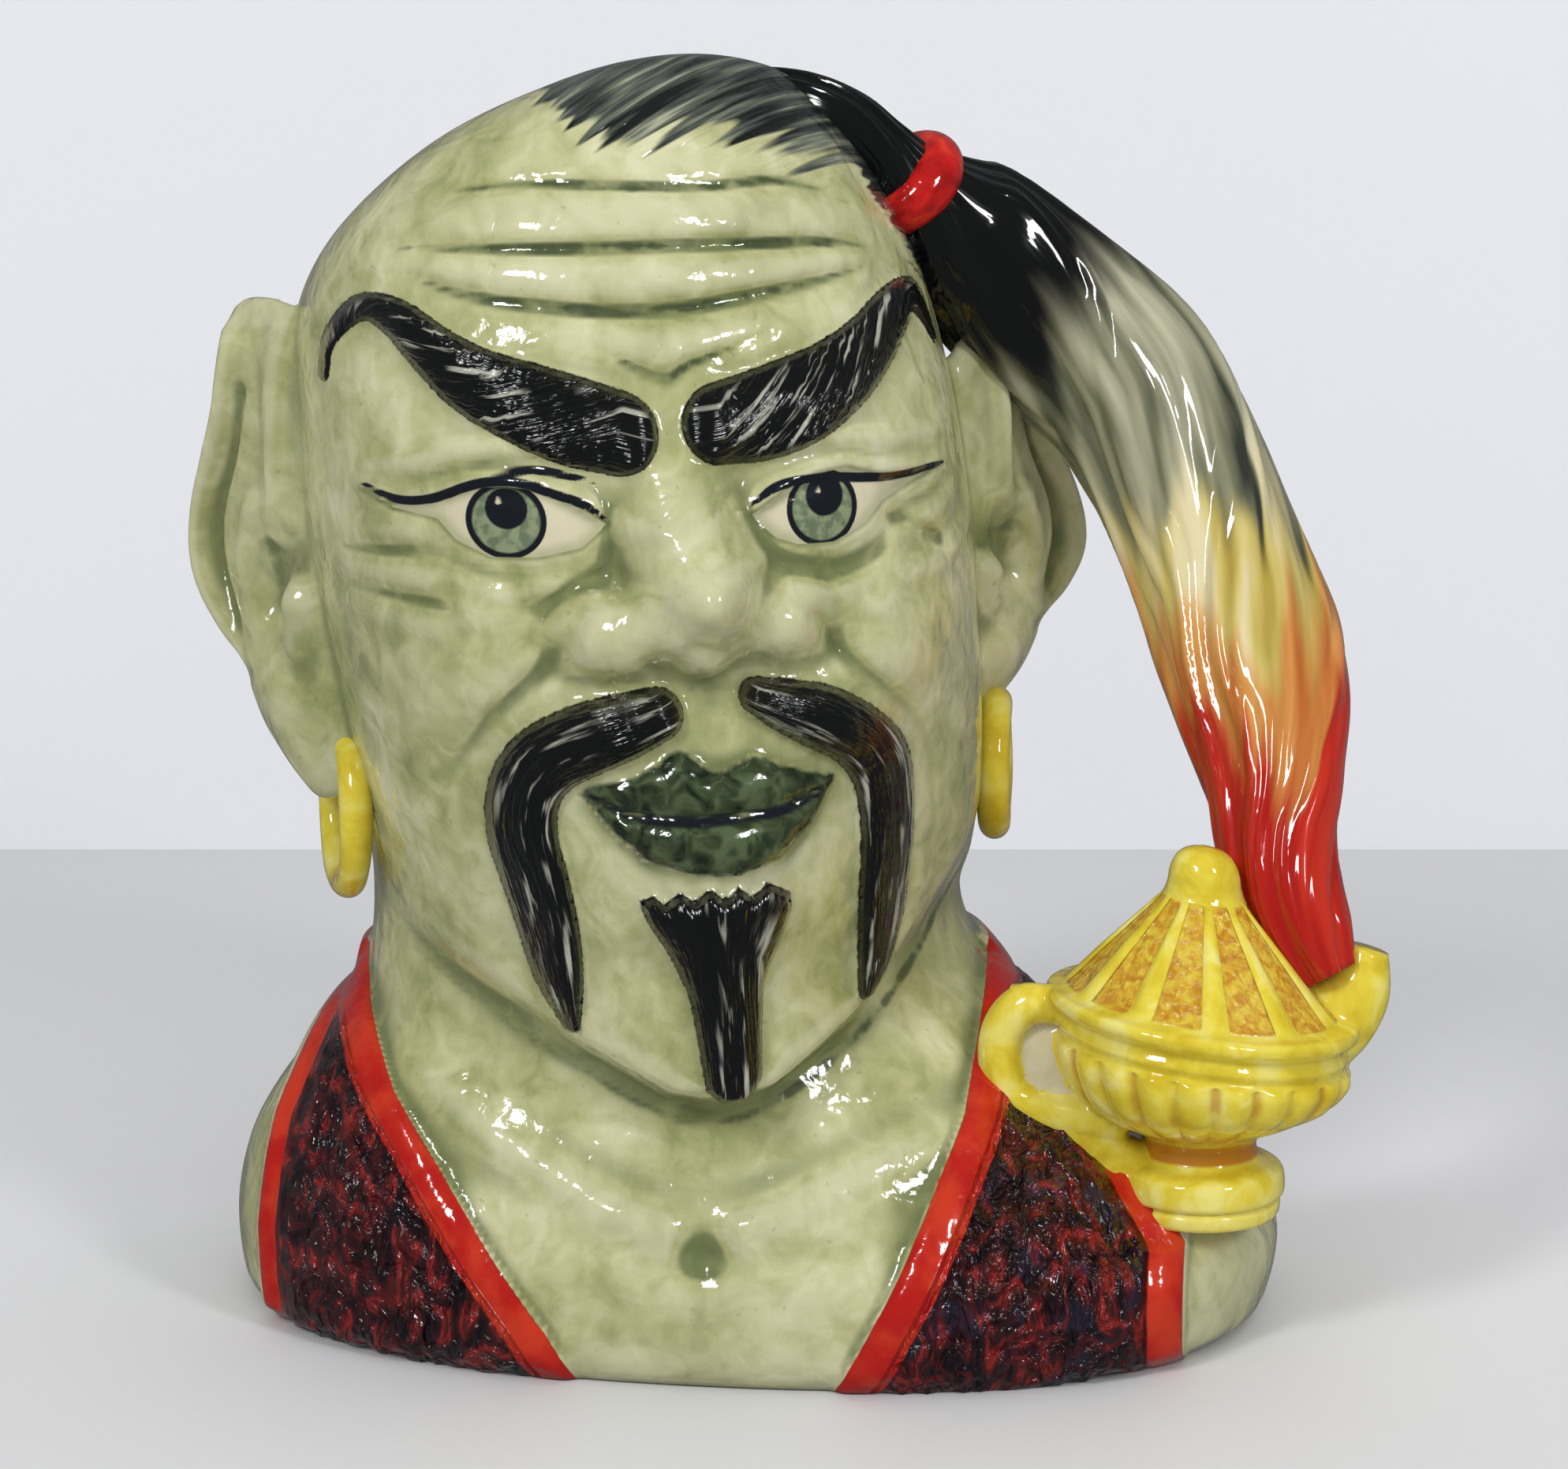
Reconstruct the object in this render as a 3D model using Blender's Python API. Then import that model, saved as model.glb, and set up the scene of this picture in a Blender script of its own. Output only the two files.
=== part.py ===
"""A toby jug cast as the head and shoulders of a genie.

The jug is one hollow casting that stands on its foot, open at the top behind the forehead. The tied hair is
its handle: it leaves the crown through a round band and comes down into the spout of an oil lamp on the
shoulder. Blender 4.5, metres, +Z up. The face looks towards -Y, turned a little to +X, and the handle is on
the +X side.
"""

import math

import bmesh
import bpy
import numpy as np
from mathutils import Vector

# Sizes that can be set by themselves, in metres.
HEIGHT = 0.180
WALL = 0.0045
FLOOR = 0.006
FLOOR_CORNER = 0.008
LIP_RADIUS = 0.0019
FOOT_RIM = 0.007
FOOT_RECESS = 0.0012
EARRING_WIRE = 0.0023
BAND_THICKNESS = 0.0031

# The carving is given on a jug 180 high, and MM is one of its units in metres.
CARVED_HEIGHT = 180.0
MM = HEIGHT / CARVED_HEIGHT

# How finely each shape is lofted, and the share of its triangles that it keeps.
BODY_COLUMNS = 156
BODY_ROWS = 120
FACE_CLOSER = 4.0
HEAD_CLOSER = 1.8
HEAD_FROM = 38.0
LINE_STEPS = 3
CAVITY_COLUMNS = 44
CAVITY_ROWS = 20
EAR_POINTS = 72
EAR_BACK_RINGS = 4
EAR_FRONT_RINGS = 18
BODY_KEPT = 0.095
CAVITY_KEPT = 0.20
PIECE_KEPT = 0.25

# Level sections of the body, from the foot to the rim:
# height, centre x, centre y, half width, half depth, squareness, turn in degrees, backward tilt.
STATIONS = np.array([
    (0.0, -4.5, 0.0, 72.5, 46.0, 2.30, -8.0, 0.00),
    (3.5, -4.3, 0.0, 75.2, 48.2, 2.35, -8.0, 0.00),
    (13.0, -4.3, 0.0, 76.0, 49.0, 2.35, -8.0, 0.00),
    (22.0, -7.5, 0.0, 71.0, 46.5, 2.30, -7.0, 0.00),
    (29.0, -10.0, 0.5, 65.0, 43.5, 2.25, -6.0, 0.00),
    (38.0, -13.3, 1.0, 55.0, 40.5, 2.20, -4.0, 0.00),
    (46.0, -14.3, 2.0, 47.3, 38.5, 2.15, -1.0, 0.00),
    (53.0, -16.2, 3.0, 43.8, 38.0, 2.10, 3.0, 0.00),
    (60.0, -17.0, 3.5, 42.6, 38.5, 2.10, 6.0, 0.00),
    (67.0, -16.4, 3.0, 43.6, 40.5, 2.15, 8.0, 0.00),
    (76.0, -17.0, 3.0, 45.0, 43.5, 2.20, 9.5, 0.00),
    (88.0, -18.2, 3.0, 46.2, 46.0, 2.20, 9.5, 0.00),
    (101.0, -19.8, 3.0, 46.9, 48.0, 2.20, 9.5, 0.00),
    (115.0, -21.2, 3.0, 47.4, 49.0, 2.20, 9.5, 0.00),
    (129.0, -22.6, 3.5, 46.6, 48.5, 2.20, 9.5, 0.03),
    (141.0, -24.0, 4.3, 45.4, 46.3, 2.15, 9.5, 0.14),
    (150.0, -23.4, 6.5, 41.8, 42.6, 2.10, 9.5, 0.30),
    (157.5, -21.0, 10.4, 34.6, 37.2, 2.08, 9.5, 0.44),
    (162.2, -16.8, 14.6, 27.0, 31.2, 2.00, 9.5, 0.53),
    (164.4, -13.6, 17.6, 22.6, 26.4, 2.00, 9.5, 0.577),
])
LIP_RISE = 0.3

# The face has its own frame: u to its left hand, f forwards, both from the head's axis.
HEAD_X, HEAD_Y = -20.5, 3.0
FACE_TURN = math.radians(9.5)
FACE_RIGHT = np.array([math.cos(FACE_TURN), math.sin(FACE_TURN)])
FACE_FORWARD = np.array([math.sin(FACE_TURN), -math.cos(FACE_TURN)])

# Soft forms of the face, each a smooth line of mounds: u, z, width, height.
SOFT_FORMS = [
    [(-33.0, 100.0, 12.5, 4.5)], [(29.5, 100.5, 11.5, 5.5)],
    [(-15.5, 121.0, 5.0, -2.0)], [(10.5, 121.5, 4.5, -2.0)],
    [(-43.0, 131.0, 9.0, 2.0), (-26.0, 131.0, 7.0, 1.2)], [(20.0, 133.0, 7.0, 1.2), (38.0, 132.0, 9.0, 2.0)],
    [(-12.5, 93.0, 9.0, 2.0)], [(14.5, 94.5, 9.0, 2.0)], [(1.5, 80.0, 17.0, 4.5)],
    [(3.0, 57.0, 17.0, 4.5)],
    [(-43.5, 116.5, 2.0, 1.0), (-36.0, 117.5, 2.0, 1.2)],
    [(-44.0, 111.3, 2.0, 1.2), (-35.0, 111.6, 2.0, 1.4)],
    [(-45.0, 106.0, 2.0, 1.0), (-34.0, 105.0, 2.2, 0.8)],
    [(29.0, 115.8, 2.0, 1.0), (38.0, 119.0, 2.0, 1.4), (43.0, 123.0, 2.0, 0.8)],
    [(30.0, 111.0, 2.0, 1.0), (38.0, 112.0, 2.2, 1.4), (44.0, 116.0, 2.0, 0.8)],
    [(-29.0, 107.8, 2.6, 1.2), (-20.0, 106.0, 2.4, 0.6)], [(17.0, 108.0, 2.6, 0.8), (27.0, 107.8, 2.6, 1.2)],
    [(-30.0, 158.8, 3.4, 0.5), (0.0, 159.4, 3.6, 0.9), (24.0, 157.6, 3.4, 0.5)],
    [(-34.0, 151.8, 2.0, 0.4), (0.0, 151.4, 2.4, 0.8), (26.0, 152.6, 2.0, 0.5)],
    [(-40.0, 143.5, 3.0, -0.6), (-24.0, 142.6, 3.0, 0.8), (3.0, 142.5, 3.2, 1.2), (24.0, 145.5, 3.0, 0.8)],
]

# The nose's rounded masses, highest first: u, z, half width, half height, how far it stands out.
NOSE_BRIDGE = [(-1.8, 132.0, 7.0, 1.6), (-2.6, 126.0, 8.0, 5.2), (-1.8, 119.0, 9.5, 9.4),
               (0.4, 112.5, 11.0, 12.6)]
NOSE_MASSES = [(1.2, 110.6, 8.2, 7.6, 16.5), (0.6, 107.6, 13.0, 8.4, 12.0), (-10.6, 104.6, 9.0, 7.6, 8.6),
               (12.2, 105.8, 8.6, 7.4, 8.2), (0.9, 102.6, 5.0, 4.2, 9.6)]
NOSE_BLEND = 3.6

# The eyes' openings, and how the lids stand round them.
LEFT_EYE = [(-42.0, 122.5), (-37.5, 121.0), (-33.0, 122.0), (-28.5, 124.0), (-24.0, 124.5), (-19.0, 124.0),
            (-15.0, 122.0), (-11.0, 119.6), (-14.5, 116.6), (-20.0, 115.3), (-26.0, 115.1), (-30.3, 117.0),
            (-32.5, 119.6), (-38.0, 120.4)]
RIGHT_EYE = [(8.0, 120.4), (12.5, 123.5), (17.0, 125.5), (21.5, 126.0), (26.5, 124.6), (31.5, 124.0),
             (37.5, 124.5), (31.5, 122.8), (27.0, 121.0), (24.2, 118.4), (19.5, 116.4), (14.5, 116.4),
             (11.4, 117.4)]
EYEBALLS = [(-22.0, 118.6, 12.5, 9.0, 2.6), (18.0, 119.8, 12.0, 9.0, 2.6)]
EYE_LEVEL = 119.6
UPPER_LID_RELIEF = 1.6
LOWER_LID_RELIEF = 0.5
LID_WIDTH = 2.6
LID_FOLDS = [
    [(-42.0, 125.6, 1.3, 0.9), (-35.5, 126.8, 1.5, 1.4), (-28.5, 129.2, 1.5, 1.5), (-23.5, 129.6, 1.5, 1.4),
     (-16.0, 128.0, 1.5, 1.2), (-11.0, 125.0, 1.3, 0.8)],
    [(7.5, 126.6, 1.3, 0.8), (14.5, 129.4, 1.5, 1.3), (21.5, 130.2, 1.5, 1.4), (29.0, 128.8, 1.5, 1.3),
     (38.0, 129.2, 1.3, 0.9)],
    [(-32.0, 112.6, 1.6, 0.8), (-24.0, 110.4, 1.7, 1.4), (-17.0, 111.6, 1.7, 1.2), (-12.5, 114.4, 1.4, 0.6)],
    [(8.6, 114.6, 1.4, 0.6), (13.5, 111.6, 1.7, 1.2), (21.0, 110.2, 1.7, 1.4), (29.0, 113.0, 1.6, 0.9)],
]

# Creases of the face: u, z, width, depth.
CREASES = [
    [(-31.0, 162.0, 0.9, 0.4), (-19.0, 163.2, 1.0, 1.0), (2.5, 162.8, 1.0, 1.1), (14.5, 163.2, 1.0, 1.0),
     (25.0, 159.8, 0.9, 0.3)],
    [(-37.0, 154.5, 0.9, 0.4), (-18.5, 155.0, 1.1, 1.1), (3.0, 155.4, 1.1, 1.2), (18.5, 155.2, 1.1, 1.1),
     (27.0, 154.2, 0.9, 0.5)],
    [(-36.0, 151.0, 0.9, 0.3), (-24.0, 148.2, 1.1, 1.1), (-4.5, 147.0, 1.1, 1.2), (12.0, 149.2, 1.1, 1.1),
     (26.0, 151.4, 0.9, 0.4)],
    [(-12.0, 142.8, 0.8, 0.4), (-3.5, 138.4, 0.9, 0.9), (0.5, 140.2, 0.9, 0.8), (11.5, 144.2, 0.8, 0.3)],
    [(-15.0, 108.0, 1.4, 0.9), (-19.0, 100.5, 1.5, 1.5), (-25.5, 93.5, 1.6, 1.3), (-31.0, 84.0, 1.6, 0.5)],
    [(16.5, 107.0, 1.4, 0.9), (21.5, 100.5, 1.5, 1.4), (31.0, 92.0, 1.6, 1.1), (36.0, 82.0, 1.6, 0.4)],
    [(-42.5, 109.0, 0.9, 0.6), (-34.0, 108.2, 0.9, 0.8), (-29.0, 107.4, 0.9, 0.3)],
    [(-43.5, 113.6, 0.9, 0.5), (-36.0, 114.8, 0.9, 0.8)],
    [(28.0, 119.0, 0.9, 0.5), (36.0, 114.6, 0.9, 0.9), (43.0, 104.0, 0.9, 0.4)],
]

# Hair and lips that stand out of the face: u, z, half width along a line, and how far each stands out.
LEFT_BROW = [(-46.0, 136.4, 0.6), (-45.2, 141.6, 0.9), (-41.2, 146.4, 1.7), (-36.8, 145.4, 2.7),
             (-32.3, 141.4, 3.6), (-27.3, 137.8, 4.7), (-21.3, 135.3, 5.5), (-15.0, 133.0, 5.9),
             (-9.8, 131.6, 5.6)]
RIGHT_BROW = [(4.2, 132.6, 5.4), (9.2, 133.3, 6.0), (14.8, 135.0, 6.0), (20.6, 137.6, 5.4),
              (26.0, 141.4, 4.5), (30.4, 145.4, 3.5), (33.8, 147.2, 2.2), (36.4, 144.6, 1.4),
              (38.4, 140.6, 0.7)]
LEFT_MOUSTACHE = [(-5.2, 94.8, 3.6), (-9.5, 93.2, 4.4), (-14.6, 91.1, 4.9), (-19.4, 87.8, 4.9),
                  (-21.9, 83.0, 4.6), (-22.1, 77.0, 4.5), (-20.4, 70.5, 4.3), (-18.6, 63.5, 3.9),
                  (-17.3, 57.0, 3.2), (-15.7, 50.2, 1.2)]
RIGHT_MOUSTACHE = [(8.2, 97.0, 2.5), (12.0, 95.5, 3.5), (17.0, 93.6, 4.4), (22.4, 90.4, 4.5),
                   (26.2, 86.0, 4.3), (27.6, 80.6, 3.9), (27.9, 74.5, 3.7), (27.6, 68.0, 3.7),
                   (27.6, 61.0, 3.5), (25.6, 53.6, 1.9)]
GOATEE = [(-7.8, 69.6), (-5.8, 70.6), (-4.6, 69.4), (-2.6, 71.4), (-0.8, 70.0), (1.2, 72.0), (3.2, 70.2),
          (5.2, 72.0), (7.0, 70.4), (9.2, 72.2), (12.6, 70.4), (12.9, 67.8), (11.0, 62.6), (9.0, 57.6),
          (8.8, 50.0), (8.6, 45.0), (6.6, 41.6), (3.6, 41.0), (1.0, 43.4), (0.0, 50.0), (-1.2, 56.6),
          (-3.6, 61.8), (-6.6, 66.6)]
UPPER_LIP = [(-15.0, 83.6), (-13.6, 85.0), (-8.5, 86.2), (-2.4, 90.2), (2.4, 86.8), (7.6, 89.2), (13.4, 87.0),
             (19.2, 85.2), (19.0, 84.2), (12.0, 82.2), (5.0, 81.6), (-1.5, 81.2), (-9.0, 81.6)]
LOWER_LIP = [(-14.4, 83.2), (-9.0, 81.6), (-1.5, 81.2), (5.0, 81.6), (12.0, 82.2), (18.6, 84.2), (15.4, 79.0),
             (11.0, 75.3), (5.5, 73.6), (-1.5, 73.8), (-7.0, 75.6), (-10.8, 78.6)]
BROW_RELIEF = 3.0
MOUSTACHE_RELIEF = 4.0
GOATEE_RELIEF = 2.8
GOATEE_ROUNDING = 3.0
UPPER_LIP_RELIEF = 1.9
LOWER_LIP_RELIEF = 2.9
LIP_ROUNDING = 3.2

# The jaw's lower edge over the neck: u, z, and how far the chin stands out above it.
JAW_EDGE = [(-52.0, 74.0), (-40.5, 62.0), (-29.5, 53.4), (-16.5, 45.6), (-3.5, 38.8), (4.0, 37.8),
            (10.5, 39.6), (23.5, 47.0), (35.5, 57.0), (50.0, 74.0)]
JAW_STEP = 11.0
JAW_SIDE_STEP = 2.2

# Collar bones on the chest, in the jug's x and z, as mounds, with the hollow between them.
CHEST = [
    [(-48.0, 38.0, 3.0, 0.8), (-32.0, 28.5, 3.2, 1.8), (-17.0, 22.0, 3.0, 1.6)],
    [(24.0, 34.0, 3.0, 0.8), (7.0, 27.5, 3.2, 1.8), (-5.5, 22.5, 3.0, 1.6)],
    [(-11.2, 18.6, 3.0, -1.9)],
]

# The waistcoat: its front edges in x and z, and where its arm holes cut the shoulders, as height and place
# along them.
SHOULDER_TURN = math.radians(-8.0)
SHOULDER_X, SHOULDER_Y = -4.3, 0.0
LEFT_EDGE = [(-60.0, 50.0), (-59.0, 46.0), (-54.6, 37.0), (-47.0, 27.0), (-39.4, 16.0), (-32.8, 7.0),
             (-27.6, -2.0)]
RIGHT_EDGE = [(30.0, 52.0), (28.0, 46.0), (25.0, 36.0), (20.0, 26.0), (15.6, 17.0), (11.2, 8.5), (6.0, -2.0)]
LEFT_ARM_HOLE = [(0.0, -66.6), (15.0, -67.2), (30.0, -66.0), (45.0, -61.0)]
RIGHT_ARM_HOLE = [(0.0, 64.4), (18.0, 64.4), (33.0, 53.6), (52.0, 44.0)]
EDGING_WIDTH = 6.4
LEFT_CUFF_WIDTH = 3.0
RIGHT_CUFF_WIDTH = 6.4
WAISTCOAT_RELIEF = 0.9
EDGING_RELIEF = 1.7

# The left ear: its outline as reach out from the root and height, and its folds in the same frame as mounds.
EAR_OUTLINE = [(-6.0, 77.0), (0.0, 74.6), (4.5, 76.6), (10.2, 82.0), (14.0, 87.4), (16.2, 92.0),
               (20.0, 96.4), (24.6, 102.4), (26.2, 109.0), (25.4, 116.0), (22.8, 123.5), (19.8, 131.4),
               (18.9, 138.0), (17.6, 143.2), (14.4, 145.0), (9.0, 145.2), (4.0, 144.6), (-1.0, 143.0),
               (-6.0, 138.0), (-8.0, 126.0), (-8.0, 108.0), (-8.0, 90.0)]
EAR_MIDDLE = (9.0, 108.0)
EAR_FOLDS = [
    [(15.0, 94.0, 2.0, 1.2), (19.6, 99.0, 2.0, 1.8), (23.6, 106.0, 2.0, 2.2), (23.8, 114.0, 2.0, 2.2),
     (20.6, 123.0, 2.0, 2.2), (17.4, 132.0, 2.0, 2.2), (16.2, 140.0, 2.0, 1.6)],
    [(14.0, 92.0, 1.5, -0.8), (17.4, 100.0, 1.8, -1.8), (20.4, 107.0, 1.9, -2.3), (20.4, 114.5, 1.9, -2.2),
     (16.8, 123.5, 1.8, -1.8), (14.0, 132.0, 1.6, -1.0)],
    [(11.6, 100.0, 2.4, 0.8), (13.0, 108.0, 2.6, 1.4), (11.2, 115.0, 2.6, 1.6)],
    [(7.0, 112.0, 2.2, 1.0), (5.6, 121.0, 2.2, 2.0), (5.4, 131.0, 2.2, 2.2), (5.8, 140.0, 2.2, 1.4)],
    [(7.0, 103.0, 4.0, -2.6), (6.4, 109.0, 3.6, -2.2)],
    [(1.6, 103.0, 3.4, 3.4), (2.2, 98.0, 2.6, 1.6)],
    [(5.0, 88.0, 5.0, 2.0)],
]
EAR_ROOT_U = 45.9
EAR_ROOT_F = 4.5
EAR_FLARE = math.radians(53.0)
RIGHT_EAR_FLARE = math.radians(42.0)
EAR_THICKNESS = 6.4
EAR_LOW, EAR_HIGH = 74.6, 145.2
RIGHT_EAR_LOW, RIGHT_EAR_HIGH = 81.5, 140.0

# How far the right ear reaches out: heights on the left ear, and shares of its reach.
RIGHT_EAR_REACH = [(74.6, 1.15), (95.0, 1.2), (108.0, 1.05), (125.0, 0.88), (145.2, 0.75)]

# Earrings: centre, ring radius and the turn of the ring's plane.
EARRINGS = [((-62.8, -6.8, 73.6), 11.4, 14.0), ((30.9, 8.0, 76.4), 8.9, -4.0)]

# The tied hair: x, y, z and radius along its middle, with the band at BAND_AT along it.
TAIL = [(-6.0, -5.0, 172.3, 5.4), (2.0, -3.5, 171.2, 5.8), (8.2, -1.0, 168.9, 5.7), (12.8, 1.2, 165.4, 5.6),
        (17.0, 3.4, 160.8, 6.6), (22.6, 7.6, 154.6, 10.2), (29.4, 11.0, 149.2, 12.2),
        (40.5, 14.0, 139.5, 14.0), (50.0, 13.0, 130.7, 14.2), (57.7, 9.5, 117.7, 13.4),
        (63.2, 4.0, 105.0, 13.2), (66.4, -2.5, 95.0, 13.4), (68.4, -9.0, 86.5, 12.4),
        (69.0, -15.0, 79.0, 10.4), (69.0, -20.0, 71.0, 8.8), (70.2, -24.0, 64.4, 7.8),
        (72.8, -26.5, 58.6, 6.6), (75.6, -28.0, 53.4, 4.6)]
TAIL_LOCKS = 6
TAIL_LOCK_DEPTH = 0.11
TAIL_TWIST_TURNS = 0.55
BAND_AT = 4
BAND_RADIUS = 6.3
BAND_STRETCH = 1.1

# The oil lamp, turned about its own upright axis: radius and height, from the foot up.
LAMP_X, LAMP_Y = 58.2, -28.0
LAMP_LEAN = math.radians(7.0)
LAMP_FOOT = [(10.9, 18.6), (11.4, 21.4), (10.8, 22.2), (11.9, 23.1), (11.8, 25.8), (10.8, 27.0), (8.6, 27.8),
             (8.0, 29.0), (8.0, 30.4), (9.4, 31.8)]
LAMP_BOWL = [(14.2, 34.0), (18.4, 36.8), (20.6, 40.4), (20.8, 42.6), (19.8, 43.6), (20.4, 45.0), (19.9, 46.6),
             (21.6, 48.0), (21.4, 49.6)]
LAMP_LID = [(18.6, 50.6), (14.2, 55.4), (9.8, 60.2), (6.0, 64.4), (5.0, 66.2), (4.75, 68.0), (4.2, 69.9),
            (2.6, 71.4)]
LAMP_FLUTES = 22
LAMP_FLUTE_DEPTH = 1.0
LAMP_RIBS = 11
LAMP_RIB_HEIGHT = 0.9
LAMP_RIB_SHARE = 0.32
LAMP_HANDLE = [(41.4, -28.5, 42.4, 1.8), (42.4, -28.5, 46.2, 2.4), (38.2, -28.5, 49.2, 2.6),
               (33.4, -28.0, 49.2, 3.1), (30.4, -27.5, 45.0, 3.1), (30.6, -27.5, 38.8, 3.2),
               (33.0, -27.5, 35.4, 3.3), (38.5, -28.0, 33.2, 3.6), (48.0, -28.0, 33.0, 4.0)]
LAMP_HORN = [(32.2, -27.6, 47.6, 3.0), (33.3, -28.0, 51.6, 1.8)]
LAMP_HANDLE_WEB = (37.6, -26.6, 40.8, 7.2, 2.6, 7.5)
LAMP_SPOUT = [(68.0, -26.0, 42.0, 7.4), (74.5, -26.0, 45.4, 6.8), (79.4, -25.6, 50.2, 5.2),
              (81.4, -25.4, 56.8, 3.0)]
LAMP_BUTTRESS = [(38.5, -26.0, 31.0, 5.5), (44.5, -27.0, 25.6, 6.4), (52.0, -28.0, 22.0, 6.8)]


def through(points, where):
    """Points of a smooth curve through the given ones. Place 1.5 is midway from point 1 to point 2."""
    points = np.asarray(points, float)
    last = len(points) - 1
    start = np.clip(np.floor(where).astype(int), 0, last - 1)
    part = np.clip(where - start, 0.0, 1.0)[:, None]
    before, after = points[np.maximum(start - 1, 0)], points[np.minimum(start + 2, last)]
    here, there = points[start], points[start + 1]
    leaving = (there - before) / np.where(start > 0, 2.0, 1.0)[:, None]
    arriving = (after - here) / np.where(start < last - 1, 2.0, 1.0)[:, None]
    square, cube = part**2, part**3
    return (here * (2 * cube - 3 * square + 1) + leaving * (cube - 2 * square + part)
            + there * (3 * square - 2 * cube) + arriving * (cube - square))


def spread(points, count):
    """Count places along a smooth curve through the points, at even distances."""
    fine = np.linspace(0, len(points) - 1, 40 * len(points))
    steps = np.linalg.norm(np.diff(through(points, fine)[:, :3], axis=0), axis=1)
    length = np.concatenate([[0.0], np.cumsum(steps)])
    return np.interp(np.linspace(0, length[-1], count), length, fine)


def smooth_step(value):
    value = np.clip(value, 0.0, 1.0)
    return value * value * (3 - 2 * value)


def along_line(u, z, line):
    """For each point: its distance from the nearest place on the line, and the line's other values there."""
    line = np.asarray(line, float)
    if len(line) == 1:
        values = np.broadcast_to(line[0, 2:], (*u.shape, line.shape[1] - 2))
        return np.hypot(u - line[0, 0], z - line[0, 1]), values
    best = np.full(u.shape, np.inf)
    distance = np.full(u.shape, np.inf)
    values = np.zeros((*u.shape, line.shape[1] - 2))
    for start, end in zip(line[:-1], line[1:]):
        run = end[:2] - start[:2]
        part = np.clip(((u - start[0]) * run[0] + (z - start[1]) * run[1]) / (run @ run), 0.0, 1.0)
        reach = np.hypot(u - start[0] - part * run[0], z - start[1] - part * run[1])
        here = start[2:] + part[..., None] * (end[2:] - start[2:])
        score = reach - here[..., 0]
        closer = score < best
        best = np.where(closer, score, best)
        distance = np.where(closer, reach, distance)
        values = np.where(closer[..., None], here, values)
    return distance, values


def smooth_line(line):
    """The line's points, with more between them on a smooth curve."""
    last = len(line) - 1
    return through(line, np.linspace(0, last, LINE_STEPS * last + 1))


def mound(u, z, line):
    """Height of a soft ridge that runs along a line of (u, z, width, height)."""
    distance, values = along_line(u, z, smooth_line(line) if len(line) > 1 else line)
    return values[..., 1] * np.exp(-((distance / values[..., 0]) ** 2))


def pad(u, z, line):
    """From 0 outside to 1 on the middle of a rounded pad that runs along a line of (u, z, half width)."""
    distance, values = along_line(u, z, smooth_line(line))
    half = values[..., 0]
    return np.clip(1 - (distance / half) ** 2, 0.0, 1.0) ** 0.6 * np.minimum(half / 2.6, 1.0)


def dome(u, z, shape):
    """A rounded mass's height, which goes on falling below zero outside its edge."""
    u0, z0, wide, tall, height = shape
    inside = 1 - ((u - u0) / wide) ** 2 - ((z - z0) / tall) ** 2
    return np.maximum(height * np.sign(inside) * np.abs(inside) ** 0.75, -8.0)


def blended(first, second, softness):
    """The higher of two heights, with a fillet where they meet."""
    near = np.maximum(softness - np.abs(first - second), 0.0) / softness
    return np.maximum(first, second) + near * near * softness / 4


def edge_distance(u, z, outline):
    """Distance from a closed outline, positive inside it."""
    points = np.asarray(outline, float)
    distance = np.full(u.shape, np.inf)
    inside = np.zeros(u.shape, bool)
    for (u0, z0), (u1, z1) in zip(points, np.roll(points, -1, axis=0)):
        run_u, run_z = u1 - u0, z1 - z0
        part = np.clip(((u - u0) * run_u + (z - z0) * run_z) / (run_u**2 + run_z**2), 0.0, 1.0)
        distance = np.minimum(distance, np.hypot(u - u0 - part * run_u, z - z0 - part * run_z))
        if z0 != z1:
            crossing = u0 + (z - z0) / (z1 - z0) * run_u
            inside ^= ((z0 > z) != (z1 > z)) & (u < crossing)
    return np.where(inside, distance, -distance)


def rounded_patch(u, z, outline, rounding):
    """From 0 at an outline's edge up to 1 at the given distance inside it."""
    depth = np.clip(edge_distance(u, z, outline) / rounding, 0.0, 1.0)
    return np.sqrt(1 - (1 - depth) ** 2)


def columns_round(count, closer):
    """Angles round a section, closer together at the front by the given number of times."""
    fine = np.linspace(0, 2 * math.pi, 2001)
    density = 1 + (closer - 1) * smooth_step((0.55 - np.sin(fine)) / 0.9)
    place = np.concatenate([[0.0], np.cumsum((density[1:] + density[:-1]) / 2)])
    return np.interp(np.arange(count) * place[-1] / count, place, fine)


def sections(angles, rows, closer=1.0):
    """The plain body: one ring of points for each row, from foot to rim, closer together on the head."""
    profile = STATIONS[:, [0, 3]] + np.outer(STATIONS[:, 7] * STATIONS[:, 4], [1.0, 0.0])
    steps = np.linalg.norm(np.diff(profile, axis=0), axis=1)
    steps = steps * np.where(STATIONS[1:, 0] > HEAD_FROM, closer, 1.0)
    length = np.concatenate([[0.0], np.cumsum(steps)])
    where = np.interp(np.linspace(0, length[-1], rows), length, np.arange(len(STATIONS)))
    z, x0, y0, wide, deep, square, turn, tilt = through(STATIONS, where).T[:, :, None]
    angle = angles[None, :]
    cosine, sine = np.cos(angle), np.sin(angle)
    x = wide * np.sign(cosine) * np.abs(cosine) ** (2 / square)
    y = deep * np.sign(sine) * np.abs(sine) ** (2 / square)
    turn = np.radians(turn)
    turned_y = x * np.sin(turn) + y * np.cos(turn)
    return np.stack([x0 + x * np.cos(turn) - y * np.sin(turn), y0 + turned_y, z - tilt * turned_y], axis=-1)


def outward(rings):
    """Unit normals of a lofted surface whose rings run anticlockwise from above and go up."""
    around = np.roll(rings, -1, axis=1) - np.roll(rings, 1, axis=1)
    up = np.gradient(rings, axis=0)
    normal = np.cross(around, up)
    return normal / np.maximum(np.linalg.norm(normal, axis=-1, keepdims=True), 1e-9)


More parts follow.
